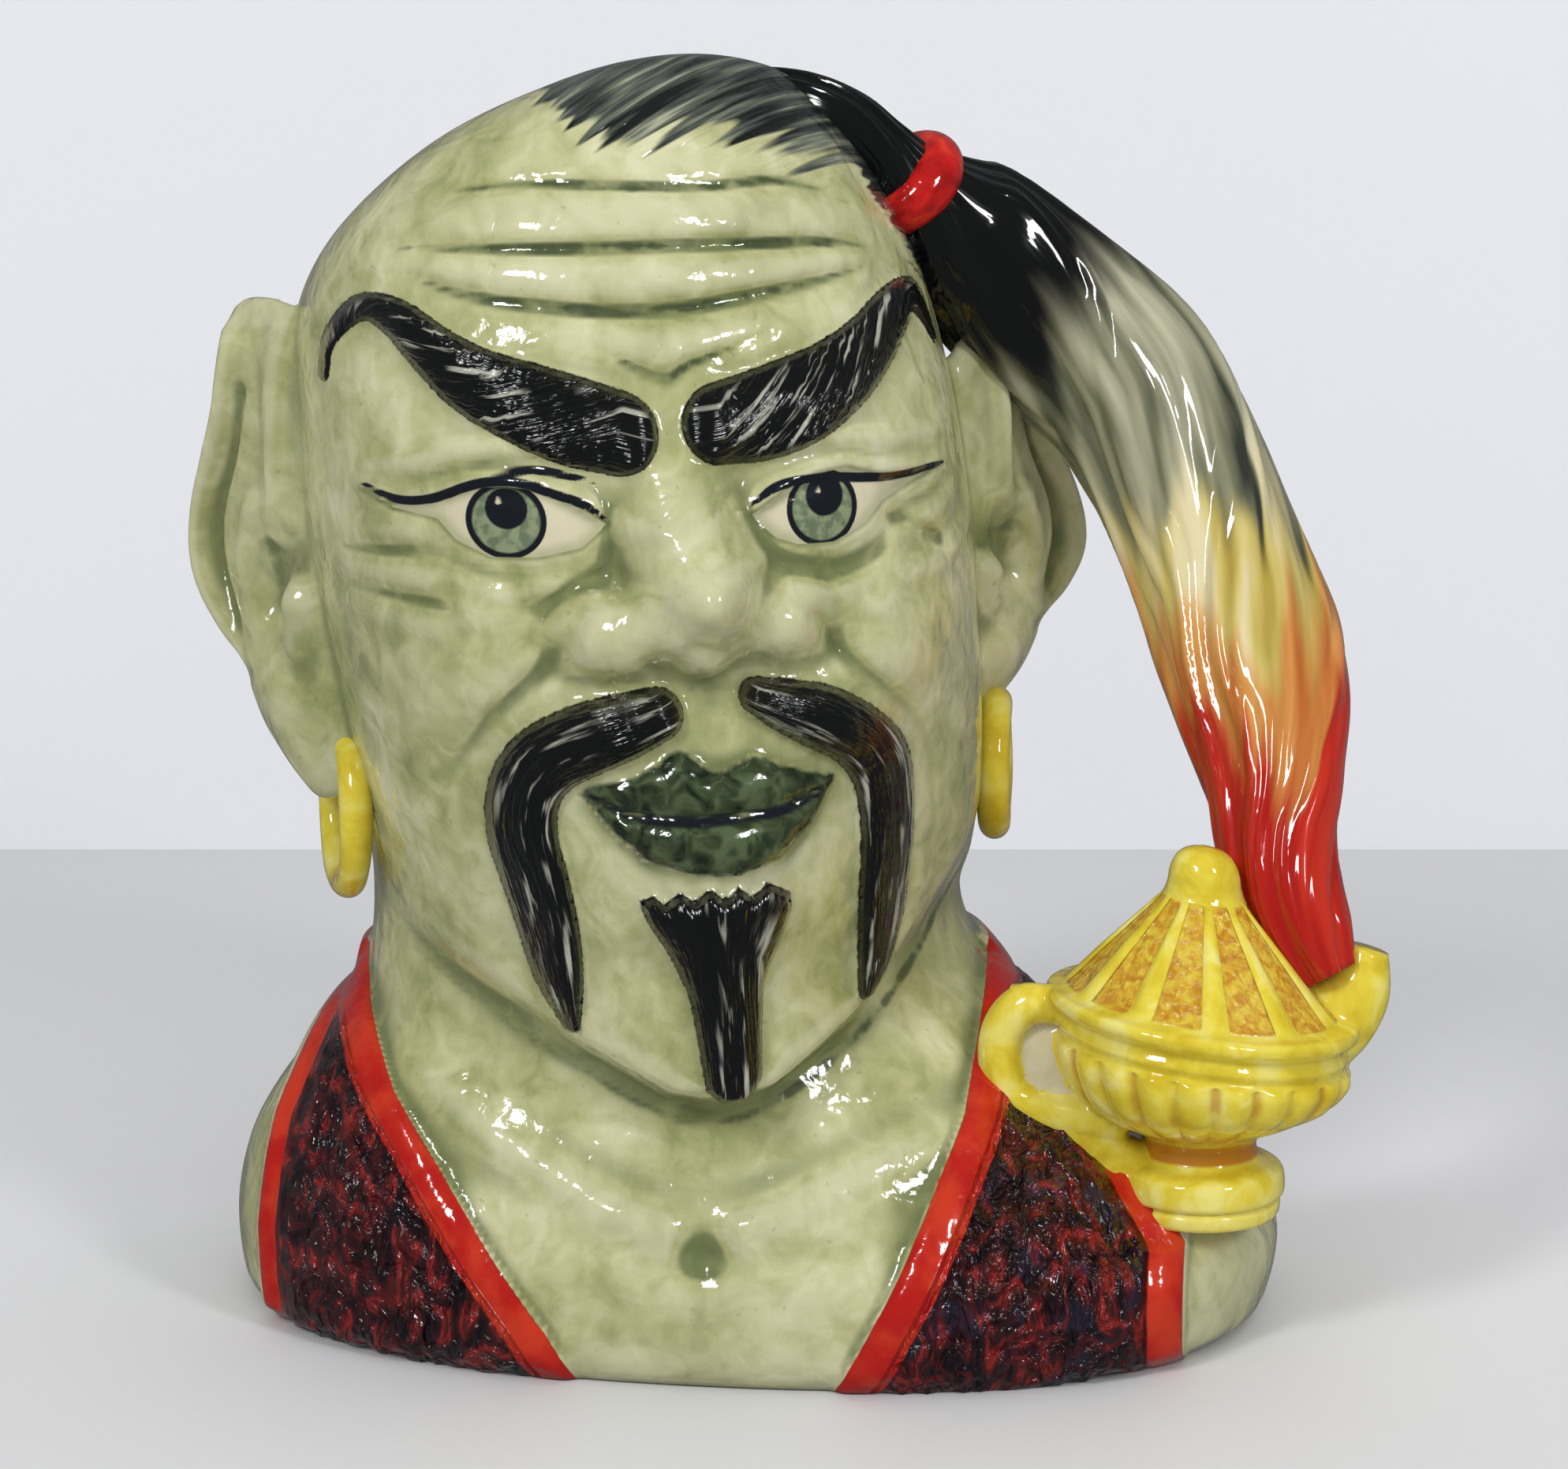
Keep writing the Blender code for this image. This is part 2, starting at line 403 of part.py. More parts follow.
def face_frame(points):
    """How far each point lies to the face's left hand, and in front of the head's axis."""
    flat = points[..., :2] - np.array([HEAD_X, HEAD_Y])
    return flat @ FACE_RIGHT, flat @ FACE_FORWARD


def face_relief(points):
    """How far the face stands forward of the plain body."""
    u, forward = face_frame(points)
    z = points[..., 2]
    front = smooth_step((forward - 4.0) / 16.0)
    jaw = np.array(JAW_EDGE)
    over_jaw = smooth_step((z - np.interp(u, jaw[:, 0], jaw[:, 1])) / 5.0)
    chin = JAW_SIDE_STEP + (JAW_STEP - JAW_SIDE_STEP) * np.exp(-(((u - 3.0) / 24.0) ** 2))
    push = chin * over_jaw * smooth_step((118.0 - z) / 66.0)
    push = push + sum(mound(u, z, line) for line in SOFT_FORMS)
    nose = dome(u, z, NOSE_MASSES[0])
    for shape in NOSE_MASSES[1:]:
        nose = blended(nose, dome(u, z, shape), NOSE_BLEND)
    distance, values = along_line(u, z, NOSE_BRIDGE)
    bridge = np.maximum(values[..., 1] * (1 - (distance / values[..., 0]) ** 2), -8.0)
    push = blended(push, blended(nose, bridge, NOSE_BLEND), NOSE_BLEND)
    eyes = np.maximum(edge_distance(u, z, LEFT_EYE), edge_distance(u, z, RIGHT_EYE))
    for eyeball in EYEBALLS:
        push = blended(push, dome(u, z, eyeball), 1.0)
    lids = LOWER_LID_RELIEF + (UPPER_LID_RELIEF - LOWER_LID_RELIEF) * smooth_step((z - EYE_LEVEL) / 4.0)
    push = push + lids * np.exp(-((eyes / LID_WIDTH) ** 2)) * smooth_step(0.5 - eyes / 0.8)
    push = push + sum(mound(u, z, line) for line in LID_FOLDS) - sum(mound(u, z, line) for line in CREASES)
    push = push + BROW_RELIEF * np.maximum(pad(u, z, LEFT_BROW), pad(u, z, RIGHT_BROW))
    push = push + UPPER_LIP_RELIEF * rounded_patch(u, z, UPPER_LIP, LIP_ROUNDING)
    push = push + LOWER_LIP_RELIEF * rounded_patch(u, z, LOWER_LIP, LIP_ROUNDING)
    push = push + MOUSTACHE_RELIEF * np.maximum(pad(u, z, LEFT_MOUSTACHE), pad(u, z, RIGHT_MOUSTACHE))
    return (push + GOATEE_RELIEF * rounded_patch(u, z, GOATEE, GOATEE_ROUNDING)) * front


def strip_depth(gap, width):
    """How far inside a strip of the given width, which starts where the gap is 0."""
    return width / 2 - np.abs(gap - width / 2)


def rounded_strip(gap, width):
    """From 0 at a strip's sides to 1 along its middle."""
    depth = np.clip(strip_depth(gap, width) / (width / 2), 0.0, 1.0)
    return np.sqrt(1 - (1 - depth) ** 2)


def waistcoat_relief(points):
    """How far the waistcoat and its edging stand out of the shoulders."""
    x, y, z = points[..., 0], points[..., 1], points[..., 2]
    left, right = np.array(LEFT_EDGE)[::-1], np.array(RIGHT_EDGE)[::-1]
    open_from = np.interp(z, left[:, 1], left[:, 0])
    open_to = np.interp(z, right[:, 1], right[:, 0])
    front_gap = np.where(y < 0.0, np.maximum(open_from - x, x - open_to), 60.0)
    neck_gap = 52.0 - z
    length = (x - SHOULDER_X) * math.cos(SHOULDER_TURN) + (y - SHOULDER_Y) * math.sin(SHOULDER_TURN)
    left_hole, right_hole = np.array(LEFT_ARM_HOLE), np.array(RIGHT_ARM_HOLE)
    left_gap = length - np.interp(z, left_hole[:, 0], left_hole[:, 1])
    right_gap = np.interp(z, right_hole[:, 0], right_hole[:, 1]) - length
    edging_gap = np.minimum(front_gap, neck_gap)
    arm_gap = np.minimum(left_gap, right_gap)
    inside = smooth_step(np.minimum(edging_gap, arm_gap) / 1.2 + 0.5)
    collar = rounded_strip(edging_gap, EDGING_WIDTH) * (arm_gap > 0)
    cuffs = np.maximum(rounded_strip(left_gap, LEFT_CUFF_WIDTH), rounded_strip(right_gap, RIGHT_CUFF_WIDTH))
    edging = np.maximum(collar, cuffs * (edging_gap > 0))
    return WAISTCOAT_RELIEF * inside + (EDGING_RELIEF - WAISTCOAT_RELIEF) * edging


def carved_body(angles, rows):
    """The body's outer surface with the face, chest and waistcoat carved on it."""
    rings = sections(angles, rows, HEAD_CLOSER)
    normals = outward(rings)
    _, forward = face_frame(rings)
    x, z = rings[..., 0], rings[..., 2]
    chest = sum(mound(x, z, line) for line in CHEST) * smooth_step((forward - 20.0) / 10.0)
    lift = chest + waistcoat_relief(rings)
    push = face_relief(rings)
    normals[..., 2] *= smooth_step((z - 1.0) / 6.0)
    direction = np.array([*FACE_FORWARD, 0.0])
    return rings + normals * lift[..., None] + push[..., None] * direction


def rim_frame():
    """The rim's centre, half width, half depth, turn and tilt."""
    z, x, y, wide, deep, _, turn, tilt = STATIONS[-1]
    return np.array([x, y, z]), wide, deep, math.radians(turn), tilt


def rim_ring(angle, inset, lift):
    """A ring on the rim's tilted plane, drawn in by inset and raised by lift."""
    centre, wide, deep, turn, tilt = rim_frame()
    x, y = (wide - inset) * np.cos(angle), (deep - inset) * np.sin(angle)
    turned_y = x * math.sin(turn) + y * math.cos(turn)
    ring = np.stack([x * math.cos(turn) - y * math.sin(turn), turned_y, -tilt * turned_y], axis=-1)
    up = np.array([0.0, tilt, 1.0]) / math.hypot(tilt, 1.0)
    return centre + ring + up * lift


def lofted(name, rings):
    """A closed mesh through rings of points, in carving units, each end closed to its middle."""
    mesh = bpy.data.meshes.new(name)
    shape = bmesh.new()
    loops = [[shape.verts.new(Vector(point) * MM) for point in ring] for ring in rings]
    for low, high in zip(loops[:-1], loops[1:]):
        for i in range(len(low)):
            j = (i + 1) % len(low)
            shape.faces.new((low[i], low[j], high[j], high[i]))
    for loop in (loops[0], loops[-1]):
        middle = shape.verts.new(sum((vert.co for vert in loop), Vector()) / len(loop))
        for i in range(len(loop)):
            shape.faces.new((loop[i], loop[(i + 1) % len(loop)], middle))
    bmesh.ops.recalc_face_normals(shape, faces=shape.faces)
    shape.to_mesh(mesh)
    shape.free()
    return bpy.data.objects.new(name, mesh)


def body_solid():
    """The body as a solid, with its outer edge eased onto the rim's plane."""
    angles = columns_round(BODY_COLUMNS, FACE_CLOSER)
    rings = list(carved_body(angles, BODY_ROWS))
    lip = LIP_RADIUS / MM
    rings.append(rim_ring(angles, 0.6 * lip, 0.22 * lip))
    rings.append(rim_ring(angles, 1.2 * lip, LIP_RISE * lip))
    return lofted("body", rings)


def cavity_solid():
    """The hollow, a wall's thickness inside the plain body, from a rounded floor to a flaring mouth."""
    wall, floor, corner, lip = WALL / MM, FLOOR / MM, FLOOR_CORNER / MM, LIP_RADIUS / MM
    angles = columns_round(CAVITY_COLUMNS, 1.0)
    plain = sections(angles, 4 * CAVITY_ROWS)
    inner = plain - outward(plain) * wall
    middle = inner.mean(axis=1, keepdims=True)
    kept = [ring for ring in inner if ring[:, 2].min() > floor + corner][:-3:3]
    lowest = kept[0]
    rings = []
    for step in np.radians([90.0, 60.0, 30.0, 0.0]):
        ring = lowest.copy()
        centre = middle[0, 0, :2]
        reach = np.linalg.norm(ring[:, :2] - centre, axis=1, keepdims=True)
        ring[:, :2] = centre + (ring[:, :2] - centre) * (1 - corner * (1 - math.cos(step)) / reach)
        ring[:, 2] = floor + corner * (1 - math.sin(step))
        rings.append(ring)
    rings += kept
    for step in np.radians([0.0, 30.0, 60.0, 85.0]):
        rise = lip * (math.sin(step) - 1 + LIP_RISE)
        rings.append(rim_ring(angles, wall - lip * (1 - math.cos(step)), rise))
    rings.append(rim_ring(angles, wall - lip, lip + 12.0))
    return lofted("cavity", rings)


def foot_recess():
    """The shallow recess in the underside, inside the foot's rim."""
    first = sections(columns_round(CAVITY_COLUMNS, 1.0), 40)[0]
    centre = first.mean(axis=0)
    reach = np.linalg.norm(first[:, :2] - centre[:2], axis=1, keepdims=True)
    ring = first.copy()
    ring[:, :2] = centre[:2] + (first[:, :2] - centre[:2]) * (1 - FOOT_RIM / MM / reach)
    low, high = ring.copy(), ring.copy()
    low[:, 2] = -5.0
    high[:, 2] = FOOT_RECESS / MM
    return lofted("foot_recess", [low, high])


def ear(name, side):
    """An ear lofted through its thickness: a plain back, a rounded edge and the folded front."""
    outline = np.array(EAR_OUTLINE + EAR_OUTLINE[:1])
    edge = through(outline, np.linspace(0, len(outline) - 1, EAR_POINTS, endpoint=False)) - EAR_MIDDLE
    back, front = np.linspace(0.1, 0.9, EAR_BACK_RINGS), np.linspace(0.92, 0.08, EAR_FRONT_RINGS)
    shares = [*back, 0.96, 0.99, 1.0, 0.99, 0.96, *front]
    rings = []
    for step, share in enumerate(shares):
        reach, height = (edge * share + EAR_MIDDLE).T
        offset = EAR_THICKNESS / 2 * math.sqrt(1 - share**6)
        if step <= EAR_BACK_RINGS + 2:
            offset = -offset
        else:
            folds = sum(mound(reach, height, line) for line in EAR_FOLDS)
            offset = offset + folds * smooth_step((1 - share) / 0.08)
        flare = EAR_FLARE
        if side > 0:
            flare = RIGHT_EAR_FLARE
            reach = reach * np.interp(height, *np.transpose(RIGHT_EAR_REACH))
            height = np.interp(height, [EAR_LOW, EAR_HIGH], [RIGHT_EAR_LOW, RIGHT_EAR_HIGH])
        u = EAR_ROOT_U + reach * math.cos(flare) + offset * math.sin(flare)
        f = EAR_ROOT_F - reach * math.sin(flare) + offset * math.cos(flare)
        flat = np.outer(side * u, FACE_RIGHT) + np.outer(f, FACE_FORWARD) + np.array([HEAD_X, HEAD_Y])
        rings.append(np.column_stack([flat, height]))
    return lofted(name, rings)


def swept(name, line, rings, sides, locks=0, depth=0.0, twist=0.0):
    """A round tube through a line of (x, y, z, radius), with locks of hair twisted along it."""
    middle = through(line, spread(line, rings))
    forward = np.gradient(middle[:, :3], axis=0)
    forward /= np.linalg.norm(forward, axis=1, keepdims=True)
    side = np.cross(forward, [0.0, 1.0, 0.0])
    side /= np.linalg.norm(side, axis=1, keepdims=True)
    other = np.cross(forward, side)
    angle = np.linspace(0, 2 * math.pi, sides, endpoint=False)
    hoops = []
    for step, (point, across, back) in enumerate(zip(middle, side, other)):
        turn = angle - twist * 2 * math.pi * step / (rings - 1)
        ripple = np.abs(np.cos(turn * locks / 2)) if locks else np.ones(sides)
        radius = point[3] * (1 - depth + depth * ripple)
        hoop = np.outer(radius * np.cos(angle), across) + np.outer(radius * np.sin(angle), back)
        hoops.append(point[:3] + hoop)
    return lofted(name, hoops)


def band():
    """The round band that holds the hair where it leaves the head."""
    line = np.array(TAIL)
    place = line[BAND_AT, :3]
    axis = Vector(line[BAND_AT + 1, :3] - line[BAND_AT - 1, :3]).normalized()
    bpy.ops.mesh.primitive_torus_add(
        major_segments=26, minor_segments=12, major_radius=BAND_RADIUS * MM, minor_radius=BAND_THICKNESS)
    ring = bpy.context.object
    ring.name = "band"
    ring.scale = (1.0, 1.0, BAND_STRETCH)
    ring.rotation_euler = axis.to_track_quat("Z", "Y").to_euler()
    ring.location = Vector(place) * MM
    return ring


def earring(name, centre, radius, turn):
    bpy.ops.mesh.primitive_torus_add(
        major_segments=28, minor_segments=10, major_radius=radius * MM, minor_radius=EARRING_WIRE)
    ring = bpy.context.object
    ring.name = name
    ring.rotation_euler = (math.pi / 2, 0.0, math.pi / 2 + math.radians(turn))
    ring.location = Vector(centre) * MM
    return ring


def lamp_body():
    """The lamp's foot, fluted bowl and ribbed lid, as one turned shape that leans a little."""
    columns = 88
    angle = np.linspace(0, 2 * math.pi, columns, endpoint=False)
    flutes = LAMP_FLUTE_DEPTH * (np.abs(np.cos(angle * LAMP_FLUTES / 2)) - 1)
    wave = np.cos((angle + math.pi / 2) * LAMP_RIBS) - math.cos(LAMP_RIB_SHARE * math.pi)
    ribs = LAMP_RIB_HEIGHT * np.clip(wave * 2.0, -1.0, 1.0) / 2
    rings = []
    for radius, height in LAMP_FOOT + LAMP_BOWL + LAMP_LID:
        on_bowl = (radius, height) in LAMP_BOWL[:4]
        on_lid = (radius, height) in LAMP_LID[:4]
        reach = radius + flutes * on_bowl + ribs * on_lid
        level = np.full(columns, height)
        rings.append(np.stack([reach * np.cos(angle), reach * np.sin(angle), level], axis=-1))
    lean_from = LAMP_FOOT[-1][1]
    for ring in rings:
        lean = LAMP_LEAN * smooth_step((ring[0, 2] - lean_from) / 12.0)
        ring[:, 2] = ring[:, 2] - ring[:, 0] * math.tan(lean)
        ring[:, :2] += (LAMP_X, LAMP_Y)
    return lofted("lamp", rings)


def lamp_web():
    """The thin wall that closes the lamp's ring handle."""
    x, y, z, wide, deep, tall = LAMP_HANDLE_WEB
    place = Vector((x, y, z)) * MM
    bpy.ops.mesh.primitive_uv_sphere_add(segments=20, ring_count=12, radius=MM, location=place)
    web = bpy.context.object
    web.name = "lamp_web"
    web.scale = (wide, deep, tall)
    return web


def clear_scene():
    for item in list(bpy.data.objects):
        bpy.data.objects.remove(item)


def collection(name):
    made = bpy.data.collections.new(name)
    bpy.context.scene.collection.children.link(made)
    return made


def move_to(group, item):
    for owner in list(item.users_collection):
        owner.objects.unlink(item)
    group.objects.link(item)


def thin(item, kept):
    """Keeps a share of a loft's triangles, most of them where it curves."""
    item.modifiers.new("thinner", "DECIMATE").ratio = kept


def glaze():
    """Pale green glazed earthenware."""
    material = bpy.data.materials.new("glazed_earthenware")
    material.use_nodes = True
    shader = material.node_tree.nodes["Principled BSDF"]
    shader.inputs["Base Color"].default_value = (0.42, 0.44, 0.24, 1.0)
    shader.inputs["Roughness"].default_value = 0.12
    return material


def build():
    clear_scene()
    parts, cutters = collection("toby_jug"), collection("cutters")
    jug = body_solid()
    jug.name = "toby_jug"
    added = [ear("left_ear", -1), ear("right_ear", 1)]
    added.append(swept("tail", TAIL, 46, 30, TAIL_LOCKS, TAIL_LOCK_DEPTH, TAIL_TWIST_TURNS))
    added.append(band())
    added += [earring(f"earring_{i}", *ring) for i, ring in enumerate(EARRINGS)]
    added += [lamp_body(), lamp_web()]
    added.append(swept("lamp_handle", LAMP_HANDLE, 24, 14))
    added.append(swept("lamp_horn", LAMP_HORN, 5, 12))
    added.append(swept("lamp_spout", LAMP_SPOUT, 10, 18))
    added.append(swept("lamp_buttress", LAMP_BUTTRESS, 8, 14))
    cut = [cavity_solid(), foot_recess()]
    thin(jug, BODY_KEPT)
    for item in added:
        thin(item, PIECE_KEPT)
    thin(cut[0], CAVITY_KEPT)
    move_to(parts, jug)
    for item, operation in [(item, "UNION") for item in added] + [(item, "DIFFERENCE") for item in cut]:
        move_to(cutters, item)
        item.hide_render = True
        item.display_type = "WIRE"
        join = jug.modifiers.new(item.name, "BOOLEAN")
        join.operation = operation
        join.object = item
        join.solver = "MANIFOLD"
    jug.data.materials.append(glaze())
    bpy.context.view_layer.update()
    graph = bpy.context.evaluated_depsgraph_get()
    casting = jug.evaluated_get(graph).to_mesh()
    corners = np.array([vert.co[:] for vert in casting.vertices])
    low, high = corners.min(axis=0), corners.max(axis=0)
    for item in (jug, *cutters.objects):
        item.location = item.location - Vector(((low[0] + high[0]) / 2, (low[1] + high[1]) / 2, low[2]))


if __name__ == "__main__":
    build()
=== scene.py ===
"""The looks of the toby jug: its carved, painted and glazed surface round the CAD part, on a pale floor.

The carving repeats the measures of the part's source on a finer mesh, and the colours are masks worked out
from the same lines. Lengths are in mm on a jug 180 high until a mesh is made. The face looks towards -Y, and
a little to +X.
"""

import math

import bpy
import numpy as np
from mathutils import Matrix, Vector, noise


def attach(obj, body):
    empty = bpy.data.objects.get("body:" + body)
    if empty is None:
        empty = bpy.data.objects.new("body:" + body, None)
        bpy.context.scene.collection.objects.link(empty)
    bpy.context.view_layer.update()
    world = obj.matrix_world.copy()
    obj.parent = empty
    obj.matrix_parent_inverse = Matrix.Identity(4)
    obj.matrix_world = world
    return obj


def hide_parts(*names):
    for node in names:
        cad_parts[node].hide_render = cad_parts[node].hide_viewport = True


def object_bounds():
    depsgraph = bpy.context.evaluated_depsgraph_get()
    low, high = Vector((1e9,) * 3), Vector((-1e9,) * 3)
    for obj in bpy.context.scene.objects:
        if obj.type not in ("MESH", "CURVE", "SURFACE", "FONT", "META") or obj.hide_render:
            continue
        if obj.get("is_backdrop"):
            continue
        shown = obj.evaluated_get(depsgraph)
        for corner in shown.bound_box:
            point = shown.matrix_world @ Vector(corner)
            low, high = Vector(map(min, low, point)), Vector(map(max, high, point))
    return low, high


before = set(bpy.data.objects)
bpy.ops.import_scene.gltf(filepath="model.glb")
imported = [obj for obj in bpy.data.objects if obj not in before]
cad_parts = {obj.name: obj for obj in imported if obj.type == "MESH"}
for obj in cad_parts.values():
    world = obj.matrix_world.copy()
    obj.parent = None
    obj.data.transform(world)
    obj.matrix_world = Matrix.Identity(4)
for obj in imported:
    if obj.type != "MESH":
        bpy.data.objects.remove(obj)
CAD_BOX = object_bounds()

MM = 0.001
NODE = "toby_jug"

# Sizes in mm, as in the CAD.
WALL = 4.5
FLOOR = 6.0
FLOOR_CORNER = 8.0
LIP_RADIUS = 1.9
FOOT_RIM = 7.0
FOOT_RECESS = 1.2
CUT_CLEARANCE = 12.0
EARRING_WIRE = 2.3
BAND_THICKNESS = 3.1

# How finely each shape is lofted.
BODY_COLUMNS = 330
BODY_ROWS = 225
FACE_CLOSER = 4.0
HEAD_CLOSER = 1.25
HEAD_FROM = 38.0
LINE_STEPS = 4
CAVITY_COLUMNS = 120
CAVITY_ROWS = 36
EAR_POINTS = 132
EAR_BACK_RINGS = 10
EAR_FRONT_RINGS = 40
TAIL_STEPS, TAIL_COLUMNS = 190, 132
LAMP_ROWS, LAMP_COLUMNS = 150, 264

# The seams round the ears and the mouth are softened above this height.
SEAMS_FROM = 60.0

# Level sections of the body, from the foot to the rim:
# height, centre x, centre y, half width, half depth, squareness, turn in degrees, backward tilt.
STATIONS = np.array([
    (0.0, -4.5, 0.0, 72.5, 46.0, 2.30, -8.0, 0.00),
    (3.5, -4.3, 0.0, 75.2, 48.2, 2.35, -8.0, 0.00),
    (13.0, -4.3, 0.0, 76.0, 49.0, 2.35, -8.0, 0.00),
    (22.0, -7.5, 0.0, 71.0, 46.5, 2.30, -7.0, 0.00),
    (29.0, -10.0, 0.5, 65.0, 43.5, 2.25, -6.0, 0.00),
    (38.0, -13.3, 1.0, 55.0, 40.5, 2.20, -4.0, 0.00),
    (46.0, -14.3, 2.0, 47.3, 38.5, 2.15, -1.0, 0.00),
    (53.0, -16.2, 3.0, 43.8, 38.0, 2.10, 3.0, 0.00),
    (60.0, -17.0, 3.5, 42.6, 38.5, 2.10, 6.0, 0.00),
    (67.0, -16.4, 3.0, 43.6, 40.5, 2.15, 8.0, 0.00),
    (76.0, -17.0, 3.0, 45.0, 43.5, 2.20, 9.5, 0.00),
    (88.0, -18.2, 3.0, 46.2, 46.0, 2.20, 9.5, 0.00),
    (101.0, -19.8, 3.0, 46.9, 48.0, 2.20, 9.5, 0.00),
    (115.0, -21.2, 3.0, 47.4, 49.0, 2.20, 9.5, 0.00),
    (129.0, -22.6, 3.5, 46.6, 48.5, 2.20, 9.5, 0.03),
    (141.0, -24.0, 4.3, 45.4, 46.3, 2.15, 9.5, 0.14),
    (150.0, -23.4, 6.5, 41.8, 42.6, 2.10, 9.5, 0.30),
    (157.5, -21.0, 10.4, 34.6, 37.2, 2.08, 9.5, 0.44),
    (162.2, -16.8, 14.6, 27.0, 31.2, 2.00, 9.5, 0.53),
    (164.4, -13.6, 17.6, 22.6, 26.4, 2.00, 9.5, 0.577),
])
LIP_RISE = 0.3

# The face has its own frame: u to its left hand, f forwards, both from the head's axis.
HEAD_X, HEAD_Y = -20.5, 3.0
FACE_TURN = math.radians(9.5)
FACE_RIGHT = np.array([math.cos(FACE_TURN), math.sin(FACE_TURN)])
FACE_FORWARD = np.array([math.sin(FACE_TURN), -math.cos(FACE_TURN)])

# Soft forms of the face, each a smooth line of mounds: u, z, width, height.
SOFT_FORMS = [
    [(-33.0, 100.0, 12.5, 4.5)], [(29.5, 100.5, 11.5, 5.5)],
    [(-15.5, 121.0, 5.0, -2.0)], [(10.5, 121.5, 4.5, -2.0)],
    [(-43.0, 131.0, 9.0, 2.0), (-26.0, 131.0, 7.0, 1.2)],
    [(20.0, 133.0, 7.0, 1.2), (38.0, 132.0, 9.0, 2.0)],
    [(-12.5, 93.0, 9.0, 2.0)], [(14.5, 94.5, 9.0, 2.0)], [(1.5, 80.0, 17.0, 4.5)],
    [(3.0, 57.0, 17.0, 4.5)],
    [(-43.5, 116.5, 2.0, 1.0), (-36.0, 117.5, 2.0, 1.2)],
    [(-44.0, 111.3, 2.0, 1.2), (-35.0, 111.6, 2.0, 1.4)],
    [(-45.0, 106.0, 2.0, 1.0), (-34.0, 105.0, 2.2, 0.8)],
    [(29.0, 115.8, 2.0, 1.0), (38.0, 119.0, 2.0, 1.4), (43.0, 123.0, 2.0, 0.8)],
    [(30.0, 111.0, 2.0, 1.0), (38.0, 112.0, 2.2, 1.4), (44.0, 116.0, 2.0, 0.8)],
    [(-29.0, 107.8, 2.6, 1.2), (-20.0, 106.0, 2.4, 0.6)], [(17.0, 108.0, 2.6, 0.8), (27.0, 107.8, 2.6, 1.2)],
    [(-30.0, 158.8, 3.4, 0.5), (0.0, 159.4, 3.6, 0.9), (24.0, 157.6, 3.4, 0.5)],
    [(-34.0, 151.8, 2.0, 0.4), (0.0, 151.4, 2.4, 0.8), (26.0, 152.6, 2.0, 0.5)],
    [(-40.0, 143.5, 3.0, -0.6), (-24.0, 142.6, 3.0, 0.8), (3.0, 142.5, 3.2, 1.2), (24.0, 145.5, 3.0, 0.8)],
]

# The nose's rounded masses, highest first: u, z, half width, half height, how far it stands out.
NOSE_BRIDGE = [(-1.8, 132.0, 7.0, 1.6), (-2.6, 126.0, 8.0, 5.2), (-1.8, 119.0, 9.5, 9.4),
               (0.4, 112.5, 11.0, 12.6)]
NOSE_MASSES = [(1.2, 110.6, 8.2, 7.6, 16.5), (0.6, 107.6, 13.0, 8.4, 12.0), (-10.6, 104.6, 9.0, 7.6, 8.6),
               (12.2, 105.8, 8.6, 7.4, 8.2), (0.9, 102.6, 5.0, 4.2, 9.6)]
NOSE_BLEND = 3.6

# The eyes' openings, and how the lids stand round them.
LEFT_EYE = [(-42.0, 122.5), (-37.5, 121.0), (-33.0, 122.0), (-28.5, 124.0), (-24.0, 124.5), (-19.0, 124.0),
            (-15.0, 122.0), (-11.0, 119.6), (-14.5, 116.6), (-20.0, 115.3), (-26.0, 115.1), (-30.3, 117.0),
            (-32.5, 119.6), (-38.0, 120.4)]
RIGHT_EYE = [(8.0, 120.4), (12.5, 123.5), (17.0, 125.5), (21.5, 126.0), (26.5, 124.6), (31.5, 124.0),
             (37.5, 124.5), (31.5, 122.8), (27.0, 121.0), (24.2, 118.4), (19.5, 116.4), (14.5, 116.4),
             (11.4, 117.4)]
EYEBALLS = [(-22.0, 118.6, 12.5, 9.0, 2.6), (18.0, 119.8, 12.0, 9.0, 2.6)]
EYE_LEVEL = 119.6
UPPER_LID_RELIEF = 1.6
LOWER_LID_RELIEF = 0.5
LID_WIDTH = 2.6
LID_FOLDS = [
    [(-42.0, 125.6, 1.3, 0.9), (-35.5, 126.8, 1.5, 1.4), (-28.5, 129.2, 1.5, 1.5), (-23.5, 129.6, 1.5, 1.4),
     (-16.0, 128.0, 1.5, 1.2), (-11.0, 125.0, 1.3, 0.8)],
    [(7.5, 126.6, 1.3, 0.8), (14.5, 129.4, 1.5, 1.3), (21.5, 130.2, 1.5, 1.4), (29.0, 128.8, 1.5, 1.3),
     (38.0, 129.2, 1.3, 0.9)],
    [(-32.0, 112.6, 1.6, 0.8), (-24.0, 110.4, 1.7, 1.4), (-17.0, 111.6, 1.7, 1.2), (-12.5, 114.4, 1.4, 0.6)],
    [(8.6, 114.6, 1.4, 0.6), (13.5, 111.6, 1.7, 1.2), (21.0, 110.2, 1.7, 1.4), (29.0, 113.0, 1.6, 0.9)],
]

